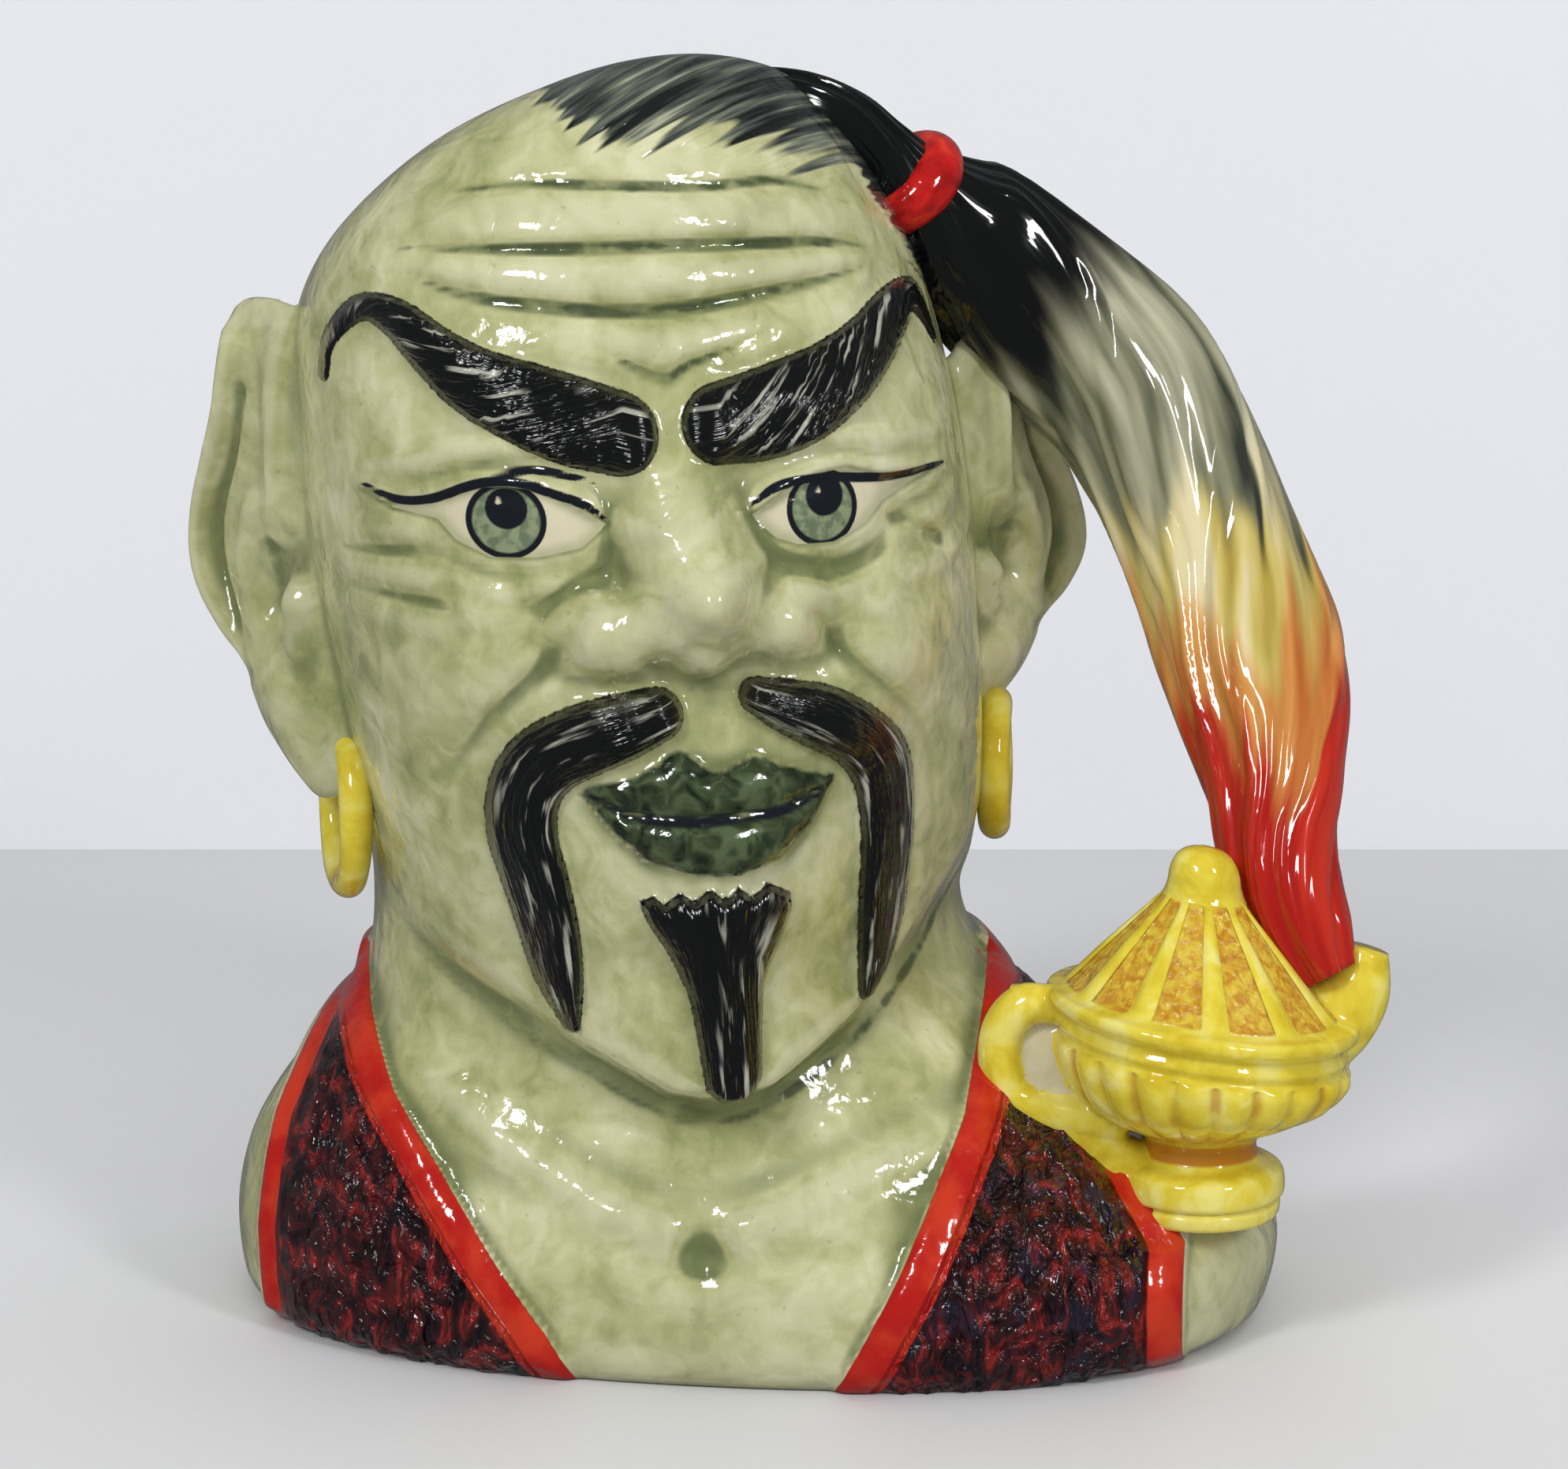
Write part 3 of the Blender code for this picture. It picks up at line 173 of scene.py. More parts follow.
# Creases of the face: u, z, width, depth.
CREASES = [
    [(-31.0, 162.0, 0.9, 0.4), (-19.0, 163.2, 1.0, 1.0), (2.5, 162.8, 1.0, 1.1), (14.5, 163.2, 1.0, 1.0),
     (25.0, 159.8, 0.9, 0.3)],
    [(-37.0, 154.5, 0.9, 0.4), (-18.5, 155.0, 1.1, 1.1), (3.0, 155.4, 1.1, 1.2), (18.5, 155.2, 1.1, 1.1),
     (27.0, 154.2, 0.9, 0.5)],
    [(-36.0, 151.0, 0.9, 0.3), (-24.0, 148.2, 1.1, 1.1), (-4.5, 147.0, 1.1, 1.2), (12.0, 149.2, 1.1, 1.1),
     (26.0, 151.4, 0.9, 0.4)],
    [(-12.0, 142.8, 0.8, 0.4), (-3.5, 138.4, 0.9, 0.9), (0.5, 140.2, 0.9, 0.8), (11.5, 144.2, 0.8, 0.3)],
    [(-15.0, 108.0, 1.4, 0.9), (-19.0, 100.5, 1.5, 1.5), (-25.5, 93.5, 1.6, 1.3), (-31.0, 84.0, 1.6, 0.5)],
    [(16.5, 107.0, 1.4, 0.9), (21.5, 100.5, 1.5, 1.4), (31.0, 92.0, 1.6, 1.1), (36.0, 82.0, 1.6, 0.4)],
    [(-42.5, 109.0, 0.9, 0.6), (-34.0, 108.2, 0.9, 0.8), (-29.0, 107.4, 0.9, 0.3)],
    [(-43.5, 113.6, 0.9, 0.5), (-36.0, 114.8, 0.9, 0.8)],
    [(28.0, 119.0, 0.9, 0.5), (36.0, 114.6, 0.9, 0.9), (43.0, 104.0, 0.9, 0.4)],
]

# Hair and lips that stand out of the face: u, z, half width along a line, and how far each stands out.
LEFT_BROW = [(-46.0, 136.4, 0.6), (-45.2, 141.6, 0.9), (-41.2, 146.4, 1.7), (-36.8, 145.4, 2.7),
             (-32.3, 141.4, 3.6), (-27.3, 137.8, 4.7), (-21.3, 135.3, 5.5), (-15.0, 133.0, 5.9),
             (-9.8, 131.6, 5.6)]
RIGHT_BROW = [(4.2, 132.6, 5.4), (9.2, 133.3, 6.0), (14.8, 135.0, 6.0), (20.6, 137.6, 5.4),
              (26.0, 141.4, 4.5), (30.4, 145.4, 3.5), (33.8, 147.2, 2.2), (36.4, 144.6, 1.4),
              (38.4, 140.6, 0.7)]
LEFT_MOUSTACHE = [(-5.2, 94.8, 3.6), (-9.5, 93.2, 4.4), (-14.6, 91.1, 4.9), (-19.4, 87.8, 4.9),
                  (-21.9, 83.0, 4.6), (-22.1, 77.0, 4.5), (-20.4, 70.5, 4.3), (-18.6, 63.5, 3.9),
                  (-17.3, 57.0, 3.2), (-15.7, 50.2, 1.2)]
RIGHT_MOUSTACHE = [(8.2, 97.0, 2.5), (12.0, 95.5, 3.5), (17.0, 93.6, 4.4), (22.4, 90.4, 4.5),
                   (26.2, 86.0, 4.8), (27.6, 80.6, 4.6), (27.9, 74.5, 4.4), (27.6, 68.0, 4.2),
                   (27.6, 61.0, 3.8), (25.6, 53.6, 1.9)]
GOATEE = [(-7.8, 69.6), (-5.8, 70.6), (-4.6, 69.4), (-2.6, 71.4), (-0.8, 70.0), (1.2, 72.0), (3.2, 70.2),
          (5.2, 72.0), (7.0, 70.4), (9.2, 72.2), (12.6, 70.4), (12.9, 67.8), (11.0, 62.6), (9.0, 57.6),
          (8.8, 50.0), (8.6, 45.0), (6.6, 41.6), (3.6, 41.0), (1.0, 43.4), (0.0, 50.0), (-1.2, 56.6),
          (-3.6, 61.8), (-6.6, 66.6)]
UPPER_LIP = [(-15.0, 83.6), (-13.6, 85.0), (-8.5, 86.2), (-2.4, 90.2), (2.4, 86.8), (7.6, 89.2), (13.4, 87.0),
             (19.2, 85.2), (19.0, 84.2), (12.0, 82.2), (5.0, 81.6), (-1.5, 81.2), (-9.0, 81.6)]
LOWER_LIP = [(-14.4, 83.2), (-9.0, 81.6), (-1.5, 81.2), (5.0, 81.6), (12.0, 82.2), (18.6, 84.2), (15.4, 79.0),
             (11.0, 75.3), (5.5, 73.6), (-1.5, 73.8), (-7.0, 75.6), (-10.8, 78.6)]
BROW_RELIEF = 3.0
MOUSTACHE_RELIEF = 4.0
GOATEE_RELIEF = 2.8
GOATEE_ROUNDING = 3.0
UPPER_LIP_RELIEF = 1.9
LOWER_LIP_RELIEF = 2.9
LIP_ROUNDING = 3.2

# The jaw's lower edge over the neck: u, z, and how far the chin stands out above it.
JAW_EDGE = [(-52.0, 74.0), (-40.5, 62.0), (-29.5, 53.4), (-16.5, 45.6), (-3.5, 38.8), (4.0, 37.8),
            (10.5, 39.6), (23.5, 47.0), (35.5, 57.0), (50.0, 74.0)]
JAW_STEP = 11.0
JAW_SIDE_STEP = 2.2
CHIN_U, CHIN_WIDTH = 3.0, 24.0
CHIN_FADE_TO, CHIN_FADE = 118.0, 66.0

# Collar bones on the chest, in the jug's x and z, as mounds, with the hollow between them.
CHEST = [
    [(-48.0, 38.0, 3.0, 0.8), (-32.0, 28.5, 3.2, 1.8), (-17.0, 22.0, 3.0, 1.6)],
    [(24.0, 34.0, 3.0, 0.8), (7.0, 27.5, 3.2, 1.8), (-5.5, 22.5, 3.0, 1.6)],
    [(-11.2, 18.6, 3.0, -1.9)],
]

# The waistcoat: its front edges in x and z, and where its arm holes cut the shoulders, as height and place
# along them.
SHOULDER_TURN = math.radians(-8.0)
SHOULDER_X, SHOULDER_Y = -4.3, 0.0
NECK_HEIGHT = 52.0
LEFT_EDGE = [(-60.0, 50.0), (-59.0, 46.0), (-54.6, 37.0), (-47.0, 27.0), (-39.4, 16.0), (-32.8, 7.0),
             (-27.6, -2.0)]
RIGHT_EDGE = [(30.0, 52.0), (28.0, 46.0), (25.0, 36.0), (20.0, 26.0), (15.6, 17.0), (11.2, 8.5), (6.0, -2.0)]
LEFT_ARM_HOLE = [(0.0, -66.6), (15.0, -67.2), (30.0, -66.0), (45.0, -61.0)]
RIGHT_ARM_HOLE = [(0.0, 64.4), (18.0, 64.4), (33.0, 53.6), (52.0, 44.0)]
EDGING_WIDTH = 6.4
LEFT_CUFF_WIDTH = 3.0
RIGHT_CUFF_WIDTH = 4.8
WAISTCOAT_RELIEF = 0.9
EDGING_RELIEF = 1.7

# The left ear: its outline as reach out from the root and height, and its folds in the same frame as mounds.
EAR_OUTLINE = [(-6.0, 77.0), (0.0, 74.6), (4.5, 76.6), (10.2, 82.0), (14.0, 87.4), (16.2, 92.0),
               (20.0, 96.4), (24.6, 102.4), (26.2, 109.0), (25.4, 116.0), (22.8, 123.5), (19.8, 131.4),
               (18.9, 138.0), (17.6, 143.2), (14.4, 145.0), (9.0, 145.2), (4.0, 144.6), (-1.0, 143.0),
               (-6.0, 138.0), (-8.0, 126.0), (-8.0, 108.0), (-8.0, 90.0)]
EAR_MIDDLE = (9.0, 108.0)
EAR_FOLDS = [
    [(15.0, 94.0, 2.0, 1.2), (19.6, 99.0, 2.0, 1.8), (23.6, 106.0, 2.0, 2.2), (23.8, 114.0, 2.0, 2.2),
     (20.6, 123.0, 2.0, 2.2), (17.4, 132.0, 2.0, 2.2), (16.2, 140.0, 2.0, 1.6)],
    [(14.0, 92.0, 1.5, -0.8), (17.4, 100.0, 1.8, -1.8), (20.4, 107.0, 1.9, -2.3), (20.4, 114.5, 1.9, -2.2),
     (16.8, 123.5, 1.8, -1.8), (14.0, 132.0, 1.6, -1.0)],
    [(11.6, 100.0, 2.4, 0.8), (13.0, 108.0, 2.6, 1.4), (11.2, 115.0, 2.6, 1.6)],
    [(7.0, 112.0, 2.2, 1.0), (5.6, 121.0, 2.2, 2.0), (5.4, 131.0, 2.2, 2.2), (5.8, 140.0, 2.2, 1.4)],
    [(7.0, 103.0, 4.0, -2.6), (6.4, 109.0, 3.6, -2.2)],
    [(1.6, 103.0, 3.4, 3.4), (2.2, 98.0, 2.6, 1.6)],
    [(5.0, 88.0, 5.0, 2.0)],
]
EAR_ROOT_U = 45.9
EAR_ROOT_F = 4.5
EAR_FLARE = math.radians(53.0)
RIGHT_EAR_FLARE = math.radians(42.0)
EAR_THICKNESS = 6.4
EAR_LOW, EAR_HIGH = 74.6, 145.2
RIGHT_EAR_LOW, RIGHT_EAR_HIGH = 81.5, 140.0

# How far the right ear reaches out: heights on the left ear, and shares of its reach.
RIGHT_EAR_REACH = [(74.6, 1.15), (95.0, 1.2), (108.0, 1.05), (125.0, 0.88), (145.2, 0.75)]

# Earrings: centre, ring radius and the turn of the ring's plane.
EARRINGS = [((-62.8, -6.8, 73.6), 11.4, 14.0), ((30.9, 8.0, 76.4), 8.9, -4.0)]

# The tied hair: x, y, z and radius along its middle, with the band at BAND_AT along it.
TAIL = [(-6.0, -5.0, 172.3, 5.4), (2.0, -3.5, 171.2, 5.8), (8.2, -1.0, 168.9, 5.7), (12.8, 1.2, 165.4, 5.6),
        (17.0, 3.4, 160.6, 7.4), (22.6, 7.6, 154.2, 11.8), (29.4, 11.0, 149.2, 13.0),
        (40.5, 14.0, 139.5, 14.0), (50.0, 13.0, 130.7, 14.2), (57.7, 9.5, 117.7, 13.4),
        (63.2, 4.0, 105.0, 13.2), (66.4, -2.5, 95.0, 13.4), (68.4, -9.0, 86.5, 12.4),
        (69.0, -15.0, 79.0, 10.4), (69.0, -20.0, 71.0, 8.8), (70.2, -24.0, 64.4, 7.8),
        (72.8, -26.5, 58.6, 6.6), (75.6, -28.0, 53.4, 4.6)]
TAIL_LOCKS = 6
TAIL_LOCK_DEPTH = 0.11
TAIL_TWIST_TURNS = 0.55
TAIL_STRANDS = 17
TAIL_STRAND_DEPTH = 0.05
BAND_AT = 4
BAND_RADIUS = 6.3
BAND_STRETCH = 1.1

# The oil lamp, turned about its own upright axis: radius and height, from the foot up.
LAMP_X, LAMP_Y = 58.2, -28.0
LAMP_LEAN = math.radians(7.0)
LAMP_FOOT = [(10.9, 18.6), (11.4, 21.4), (10.8, 22.2), (11.9, 23.1), (11.8, 25.8), (10.8, 27.0), (8.6, 27.8),
             (8.0, 29.0), (8.0, 30.4), (9.4, 31.8)]
LAMP_BOWL = [(14.2, 34.0), (18.4, 36.8), (20.6, 40.4), (20.8, 42.6), (19.8, 43.6), (20.4, 45.0), (19.9, 46.6),
             (21.6, 48.0), (21.4, 49.6)]
LAMP_LID = [(18.6, 50.6), (14.2, 55.4), (9.8, 60.2), (6.2, 64.2), (5.2, 66.4), (4.9, 68.2), (4.2, 70.0),
            (2.9, 71.3), (1.0, 71.9)]
LAMP_FLUTES = 22
LAMP_FLUTE_DEPTH = 1.0
LAMP_RIBS = 11
LAMP_RIB_HEIGHT = 0.9
LAMP_RIB_SHARE = 0.32
LAMP_HANDLE = [(41.4, -28.5, 42.4, 1.8), (42.4, -28.5, 46.2, 2.4), (38.2, -28.5, 49.2, 2.6),
               (33.4, -28.0, 49.2, 3.1), (30.4, -27.5, 45.0, 3.1), (30.6, -27.5, 38.8, 3.2),
               (33.0, -27.5, 35.4, 3.3), (38.5, -28.0, 33.2, 3.6), (48.0, -28.0, 33.0, 4.0)]
LAMP_HORN = [(32.2, -27.6, 47.6, 3.0), (33.3, -28.0, 51.6, 1.8)]
LAMP_HANDLE_WEB = (37.6, -26.6, 40.8, 7.2, 2.6, 7.5)
LAMP_SPOUT = [(68.0, -26.0, 42.0, 7.4), (74.5, -26.0, 45.4, 6.8), (79.4, -25.6, 50.2, 5.2),
              (81.4, -25.4, 56.8, 3.0)]
LAMP_BUTTRESS = [(38.5, -26.0, 31.0, 5.5), (44.5, -27.0, 25.6, 6.4), (52.0, -28.0, 22.0, 6.8)]

# Painted lines: the lashes' dark line over each eye and the mouth's line, as u, z and half width.
LASH_LINES = [
    [(-42.1, 123.4, 0.25), (-37.8, 121.7, 0.60), (-33.5, 122.1, 0.70), (-28.1, 124.5, 0.70),
     (-23.2, 125.2, 0.65), (-18.3, 123.8, 0.65), (-14.2, 122.4, 0.60), (-11.1, 120.2, 0.25)],
    [(7.9, 121.7, 0.25), (11.5, 124.2, 0.60), (16.6, 125.0, 0.65), (21.9, 124.6, 0.65), (28.8, 124.0, 0.65),
     (35.2, 124.4, 0.55), (37.6, 124.5, 0.25)],
    [(-26.0, 127.1, 0.20), (-19.1, 126.6, 0.60), (-12.4, 125.1, 0.30)],
]
MOUTH_LINE = [(-15.0, 84.2, 0.20), (-9.0, 81.6, 0.45), (-1.5, 81.0, 0.50), (5.0, 81.5, 0.50),
              (12.0, 82.0, 0.45), (19.4, 84.6, 0.20)]

# Each iris, pupil and painted glint: u, z and radius.
IRISES = [(-24.0, 120.0, 5.1), (18.0, 121.0, 5.1)]
PUPILS = [(-24.0, 121.6, 2.7), (18.3, 122.6, 2.7)]
GLINTS = [(-25.0, 122.6, 0.55), (17.4, 123.4, 0.5)]

# Soft painted shades under the nose, in the corners of the eyes, under the lower lip and on the left temple:
# u, z, width, strength.
SHADES = [
    [(0.8, 100.5, 2.6, 0.9), (0.8, 93.0, 2.2, 0.8)], [(-8.0, 101.0, 3.0, 0.5)], [(10.0, 102.5, 3.0, 0.5)],
    [(-10.5, 119.0, 1.8, 0.6), (-12.0, 112.5, 2.0, 0.4)], [(9.0, 119.5, 1.8, 0.6), (10.0, 113.0, 2.0, 0.4)],
    [(-10.0, 72.2, 1.8, 0.4), (1.5, 70.8, 1.8, 0.5), (12.0, 73.5, 1.8, 0.4)],
    [(-48.0, 126.0, 3.0, 0.3), (-44.0, 108.0, 3.4, 0.4), (-42.0, 92.0, 3.4, 0.3)],
]

SHADE_STRENGTH = 0.6

# The painted shade under the jaw's edge: how dark it is, as u and share, how far under the edge it runs,
# and its width.
JAW_SHADE = [(-52.0, 0.1), (-36.0, 0.35), (-12.0, 0.45), (4.0, 0.7), (12.0, 1.0), (36.0, 1.0), (50.0, 0.2)]
JAW_LINE_DROP = 1.4
JAW_LINE_WIDTH = 0.7

# The first creases are the forehead's thin ones, drawn as thin dark lines; the others get a soft painted
# shade.
# Each one's share of its crease's width and depth.
THIN_CREASES = 4
THIN_CREASE_LINE = (0.5, 1.0)
SOFT_CREASE_SHADE = (1.1, 0.2)

# How far the strands lean off the line of each brow, how finely they divide the moustache and the goatee, and
# the goatee's middle: height, u and half width.
BROW_LEAN = math.radians(32.0)
MOUSTACHE_STRANDS = 4.5
GOATEE_STRANDS = 5.0
GOATEE_SPINE = [(70.0, 2.6, 9.6), (62.0, 3.0, 5.6), (55.0, 4.0, 4.4), (48.0, 4.6, 4.0), (42.0, 4.8, 3.4)]

# The lower edge of the hair on the crown, as x and height, and the pole that its strands curve round.
CROWN_EDGE = [(-60.0, 182.0), (-40.0, 178.5), (-32.1, 174.2), (-27.0, 169.9), (-20.5, 168.4),
              (-10.0, 169.4), (-3.6, 167.2), (4.9, 165.6), (10.6, 164.6), (14.0, 159.0), (22.0, 150.0)]
CROWN_SLOPE_FROM = -14.0
CROWN_SLOPE = 0.55
STRAND_POLE = (44.6, 89.6)
STRAND_POLE_REACH = 80.0
CAMERA_RISE = 0.196

# A mask's value where its paint isn't at all, and how far forward of the head's axis the face's paint starts.
OUTSIDE = -20.0
PAINT_FROM = 6.0

# The lowest value of each mask at which its paint or relief can show.
PAINT_REACH = {"hair": -0.6, "crown": -7.6, "eye": -1.0, "lash": -0.3, "lips": -1.2, "waistcoat": -0.3,
               "edging": -0.6}

# The waistcoat's carved tufts: how high they stand, and their place in the noise along x, y and z.
WOOL_HEIGHT = 1.5
WOOL_SCALE = (0.24, 0.20, 0.19)


def circle(count):
    """Angles at even distances all the way round."""
    return np.linspace(0, 2 * math.pi, count, endpoint=False)


def running_total(steps):
    """The sum of the steps so far, from 0 before the first."""
    return np.concatenate([[0.0], np.cumsum(steps)])


def through(points, where):
    """Points of a smooth curve through the given ones. A place of 1.5 is midway from point 1 to point 2."""
    points = np.asarray(points, float)
    last = len(points) - 1
    start = np.clip(np.floor(where).astype(int), 0, last - 1)
    part = np.clip(where - start, 0.0, 1.0)[:, None]
    before, after = points[np.maximum(start - 1, 0)], points[np.minimum(start + 2, last)]
    here, there = points[start], points[start + 1]
    leaving = (there - before) / np.where(start > 0, 2.0, 1.0)[:, None]
    arriving = (after - here) / np.where(start < last - 1, 2.0, 1.0)[:, None]
    square, cube = part**2, part**3
    return (here * (2 * cube - 3 * square + 1) + leaving * (cube - 2 * square + part)
            + there * (3 * square - 2 * cube) + arriving * (cube - square))


def spread(points, count):
    """Count places along a smooth curve through the points, at even distances."""
    fine = np.linspace(0, len(points) - 1, 40 * len(points))
    steps = np.linalg.norm(np.diff(through(points, fine)[:, :3], axis=0), axis=1)
    length = running_total(steps)
    return np.interp(np.linspace(0, length[-1], count), length, fine)


def smooth_step(value):
    value = np.clip(value, 0.0, 1.0)
    return value * value * (3 - 2 * value)


def along_line(u, z, line):
    """For each point: how far off the nearest place on the line is, and the line's further values there."""
    line = np.asarray(line, float)
    values = np.zeros((*u.shape, line.shape[1] - 2))
    if len(line) == 1:
        return np.hypot(u - line[0, 0], z - line[0, 1]), values + line[0, 2:]
    best = np.full(u.shape, np.inf)
    distance = np.full(u.shape, np.inf)
    for start, end in zip(line[:-1], line[1:]):
        run = end[:2] - start[:2]
        part = np.clip(((u - start[0]) * run[0] + (z - start[1]) * run[1]) / (run @ run), 0.0, 1.0)
        reach = np.hypot(u - start[0] - part * run[0], z - start[1] - part * run[1])
        here = start[2:] + part[..., None] * (end[2:] - start[2:])
        score = reach - here[..., 0]
        closer = score < best
        best = np.where(closer, score, best)
        distance = np.where(closer, reach, distance)
        values = np.where(closer[..., None], here, values)
    return distance, values


def smooth_line(line):
    """The line's points, with more between them on a smooth curve."""
    last = len(line) - 1
    return through(line, np.linspace(0, last, LINE_STEPS * last + 1))


def mound(u, z, line):
    """Height of a soft ridge that runs along a line of (u, z, width, height)."""
    distance, values = along_line(u, z, smooth_line(line) if len(line) > 1 else line)
    return values[..., 1] * np.exp(-((distance / values[..., 0]) ** 2))


def mounds(u, z, lines):
    return sum(mound(u, z, line) for line in lines)


def pad(u, z, line):
    """From 0 outside to 1 on the middle of a rounded pad that runs along a line of (u, z, half width)."""
    distance, values = along_line(u, z, smooth_line(line))
    half = values[..., 0]
    return np.clip(1 - (distance / half) ** 2, 0.0, 1.0) ** 0.6 * np.minimum(half / 2.6, 1.0)


def dome(u, z, shape):
    """A rounded mass's height, which goes on falling below zero outside its edge."""
    u0, z0, wide, tall, height = shape
    inside = 1 - ((u - u0) / wide) ** 2 - ((z - z0) / tall) ** 2
    return np.maximum(height * np.sign(inside) * np.abs(inside) ** 0.75, -8.0)


def blended(first, second, softness):
    """The higher of two heights, with a fillet where they meet."""
    near = np.maximum(softness - np.abs(first - second), 0.0) / softness
    return np.maximum(first, second) + near * near * softness / 4


def edge_distance(u, z, outline):
    """Distance from a closed outline, positive inside it."""
    points = np.asarray(outline, float)
    distance = np.full(u.shape, np.inf)
    inside = np.zeros(u.shape, bool)
    for (u0, z0), (u1, z1) in zip(points, np.roll(points, -1, axis=0)):
        run_u, run_z = u1 - u0, z1 - z0
        part = np.clip(((u - u0) * run_u + (z - z0) * run_z) / (run_u**2 + run_z**2), 0.0, 1.0)
        distance = np.minimum(distance, np.hypot(u - u0 - part * run_u, z - z0 - part * run_z))
        if z0 != z1:
            crossing = u0 + (z - z0) / (z1 - z0) * run_u
            inside ^= ((z0 > z) != (z1 > z)) & (u < crossing)
    return np.where(inside, distance, -distance)


def inside_any(u, z, outlines):
    return np.max([edge_distance(u, z, outline) for outline in outlines], axis=0)


def rounded_patch(u, z, outline, rounding):
    """From 0 at an outline's edge up to 1 at the given distance inside it."""
    depth = np.clip(edge_distance(u, z, outline) / rounding, 0.0, 1.0)
    return np.sqrt(1 - (1 - depth) ** 2)


def columns_round(count, closer):
    """Angles round a section, closer together at the front by the given number of times."""
    fine = np.linspace(0, 2 * math.pi, 2001)
    density = 1 + (closer - 1) * smooth_step((0.55 - np.sin(fine)) / 0.9)
    place = running_total((density[1:] + density[:-1]) / 2)
    return np.interp(np.arange(count) * place[-1] / count, place, fine)


def sections(angles, rows, closer=1.0):
    """The plain body: a ring of points for each row from the foot to the rim, closer together on the head."""
    profile = STATIONS[:, [0, 3]] + np.outer(STATIONS[:, 7] * STATIONS[:, 4], [1.0, 0.0])
    steps = np.linalg.norm(np.diff(profile, axis=0), axis=1)
    length = running_total(steps * np.where(STATIONS[1:, 0] > HEAD_FROM, closer, 1.0))
    where = np.interp(np.linspace(0, length[-1], rows), length, np.arange(len(STATIONS)))
    z, x0, y0, wide, deep, square, turn, tilt = through(STATIONS, where).T[:, :, None]
    angle = angles[None, :]
    cosine, sine = np.cos(angle), np.sin(angle)
    x = wide * np.sign(cosine) * np.abs(cosine) ** (2 / square)
    y = deep * np.sign(sine) * np.abs(sine) ** (2 / square)
    turn = np.radians(turn)
    turned_y = x * np.sin(turn) + y * np.cos(turn)
    return np.stack([x0 + x * np.cos(turn) - y * np.sin(turn), y0 + turned_y, z - tilt * turned_y], axis=-1)


def outward(rings):
    """Unit normals of a lofted surface whose rings run anticlockwise from above and go up."""
    around = np.roll(rings, -1, axis=1) - np.roll(rings, 1, axis=1)
    up = np.gradient(rings, axis=0)
    normal = np.cross(around, up)
    return normal / np.maximum(np.linalg.norm(normal, axis=-1, keepdims=True), 1e-9)


def face_frame(points):
    """How far each point lies to the face's left hand, and in front of the head's axis."""
    flat = points[..., :2] - np.array([HEAD_X, HEAD_Y])
    return flat @ FACE_RIGHT, flat @ FACE_FORWARD


def face_relief(points):
    """How far the face stands forward of the plain body."""
    u, forward = face_frame(points)
    z = points[..., 2]
    front = smooth_step((forward - 4.0) / 16.0)
    jaw = np.array(JAW_EDGE)
    over_jaw = smooth_step((z - np.interp(u, jaw[:, 0], jaw[:, 1])) / 5.0)
    chin = JAW_SIDE_STEP + (JAW_STEP - JAW_SIDE_STEP) * np.exp(-(((u - CHIN_U) / CHIN_WIDTH) ** 2))
    push = chin * over_jaw * smooth_step((CHIN_FADE_TO - z) / CHIN_FADE)
    push = push + mounds(u, z, SOFT_FORMS)
    nose = dome(u, z, NOSE_MASSES[0])
    for shape in NOSE_MASSES[1:]:
        nose = blended(nose, dome(u, z, shape), NOSE_BLEND)
    distance, values = along_line(u, z, NOSE_BRIDGE)
    bridge = np.maximum(values[..., 1] * (1 - (distance / values[..., 0]) ** 2), -8.0)
    push = blended(push, blended(nose, bridge, NOSE_BLEND), NOSE_BLEND)
    eyes = inside_any(u, z, [LEFT_EYE, RIGHT_EYE])
    for eyeball in EYEBALLS:
        push = blended(push, dome(u, z, eyeball), 1.0)
    lids = LOWER_LID_RELIEF + (UPPER_LID_RELIEF - LOWER_LID_RELIEF) * smooth_step((z - EYE_LEVEL) / 4.0)
    push = push + lids * np.exp(-((eyes / LID_WIDTH) ** 2)) * smooth_step(0.5 - eyes / 0.8)
    push = push + mounds(u, z, LID_FOLDS) - mounds(u, z, CREASES)
    push = push + BROW_RELIEF * np.maximum(pad(u, z, LEFT_BROW), pad(u, z, RIGHT_BROW))
    push = push + UPPER_LIP_RELIEF * rounded_patch(u, z, UPPER_LIP, LIP_ROUNDING)
    push = push + LOWER_LIP_RELIEF * rounded_patch(u, z, LOWER_LIP, LIP_ROUNDING)
    push = push + MOUSTACHE_RELIEF * np.maximum(pad(u, z, LEFT_MOUSTACHE), pad(u, z, RIGHT_MOUSTACHE))
    return (push + GOATEE_RELIEF * rounded_patch(u, z, GOATEE, GOATEE_ROUNDING)) * front


def strip_depth(gap, width):
    """How far inside a strip of the given width, which starts where the gap is 0."""
    return width / 2 - np.abs(gap - width / 2)


def rounded_strip(gap, width):
    """From 0 at a strip's sides to 1 along its middle."""
    depth = np.clip(strip_depth(gap, width) / (width / 2), 0.0, 1.0)
    return np.sqrt(1 - (1 - depth) ** 2)


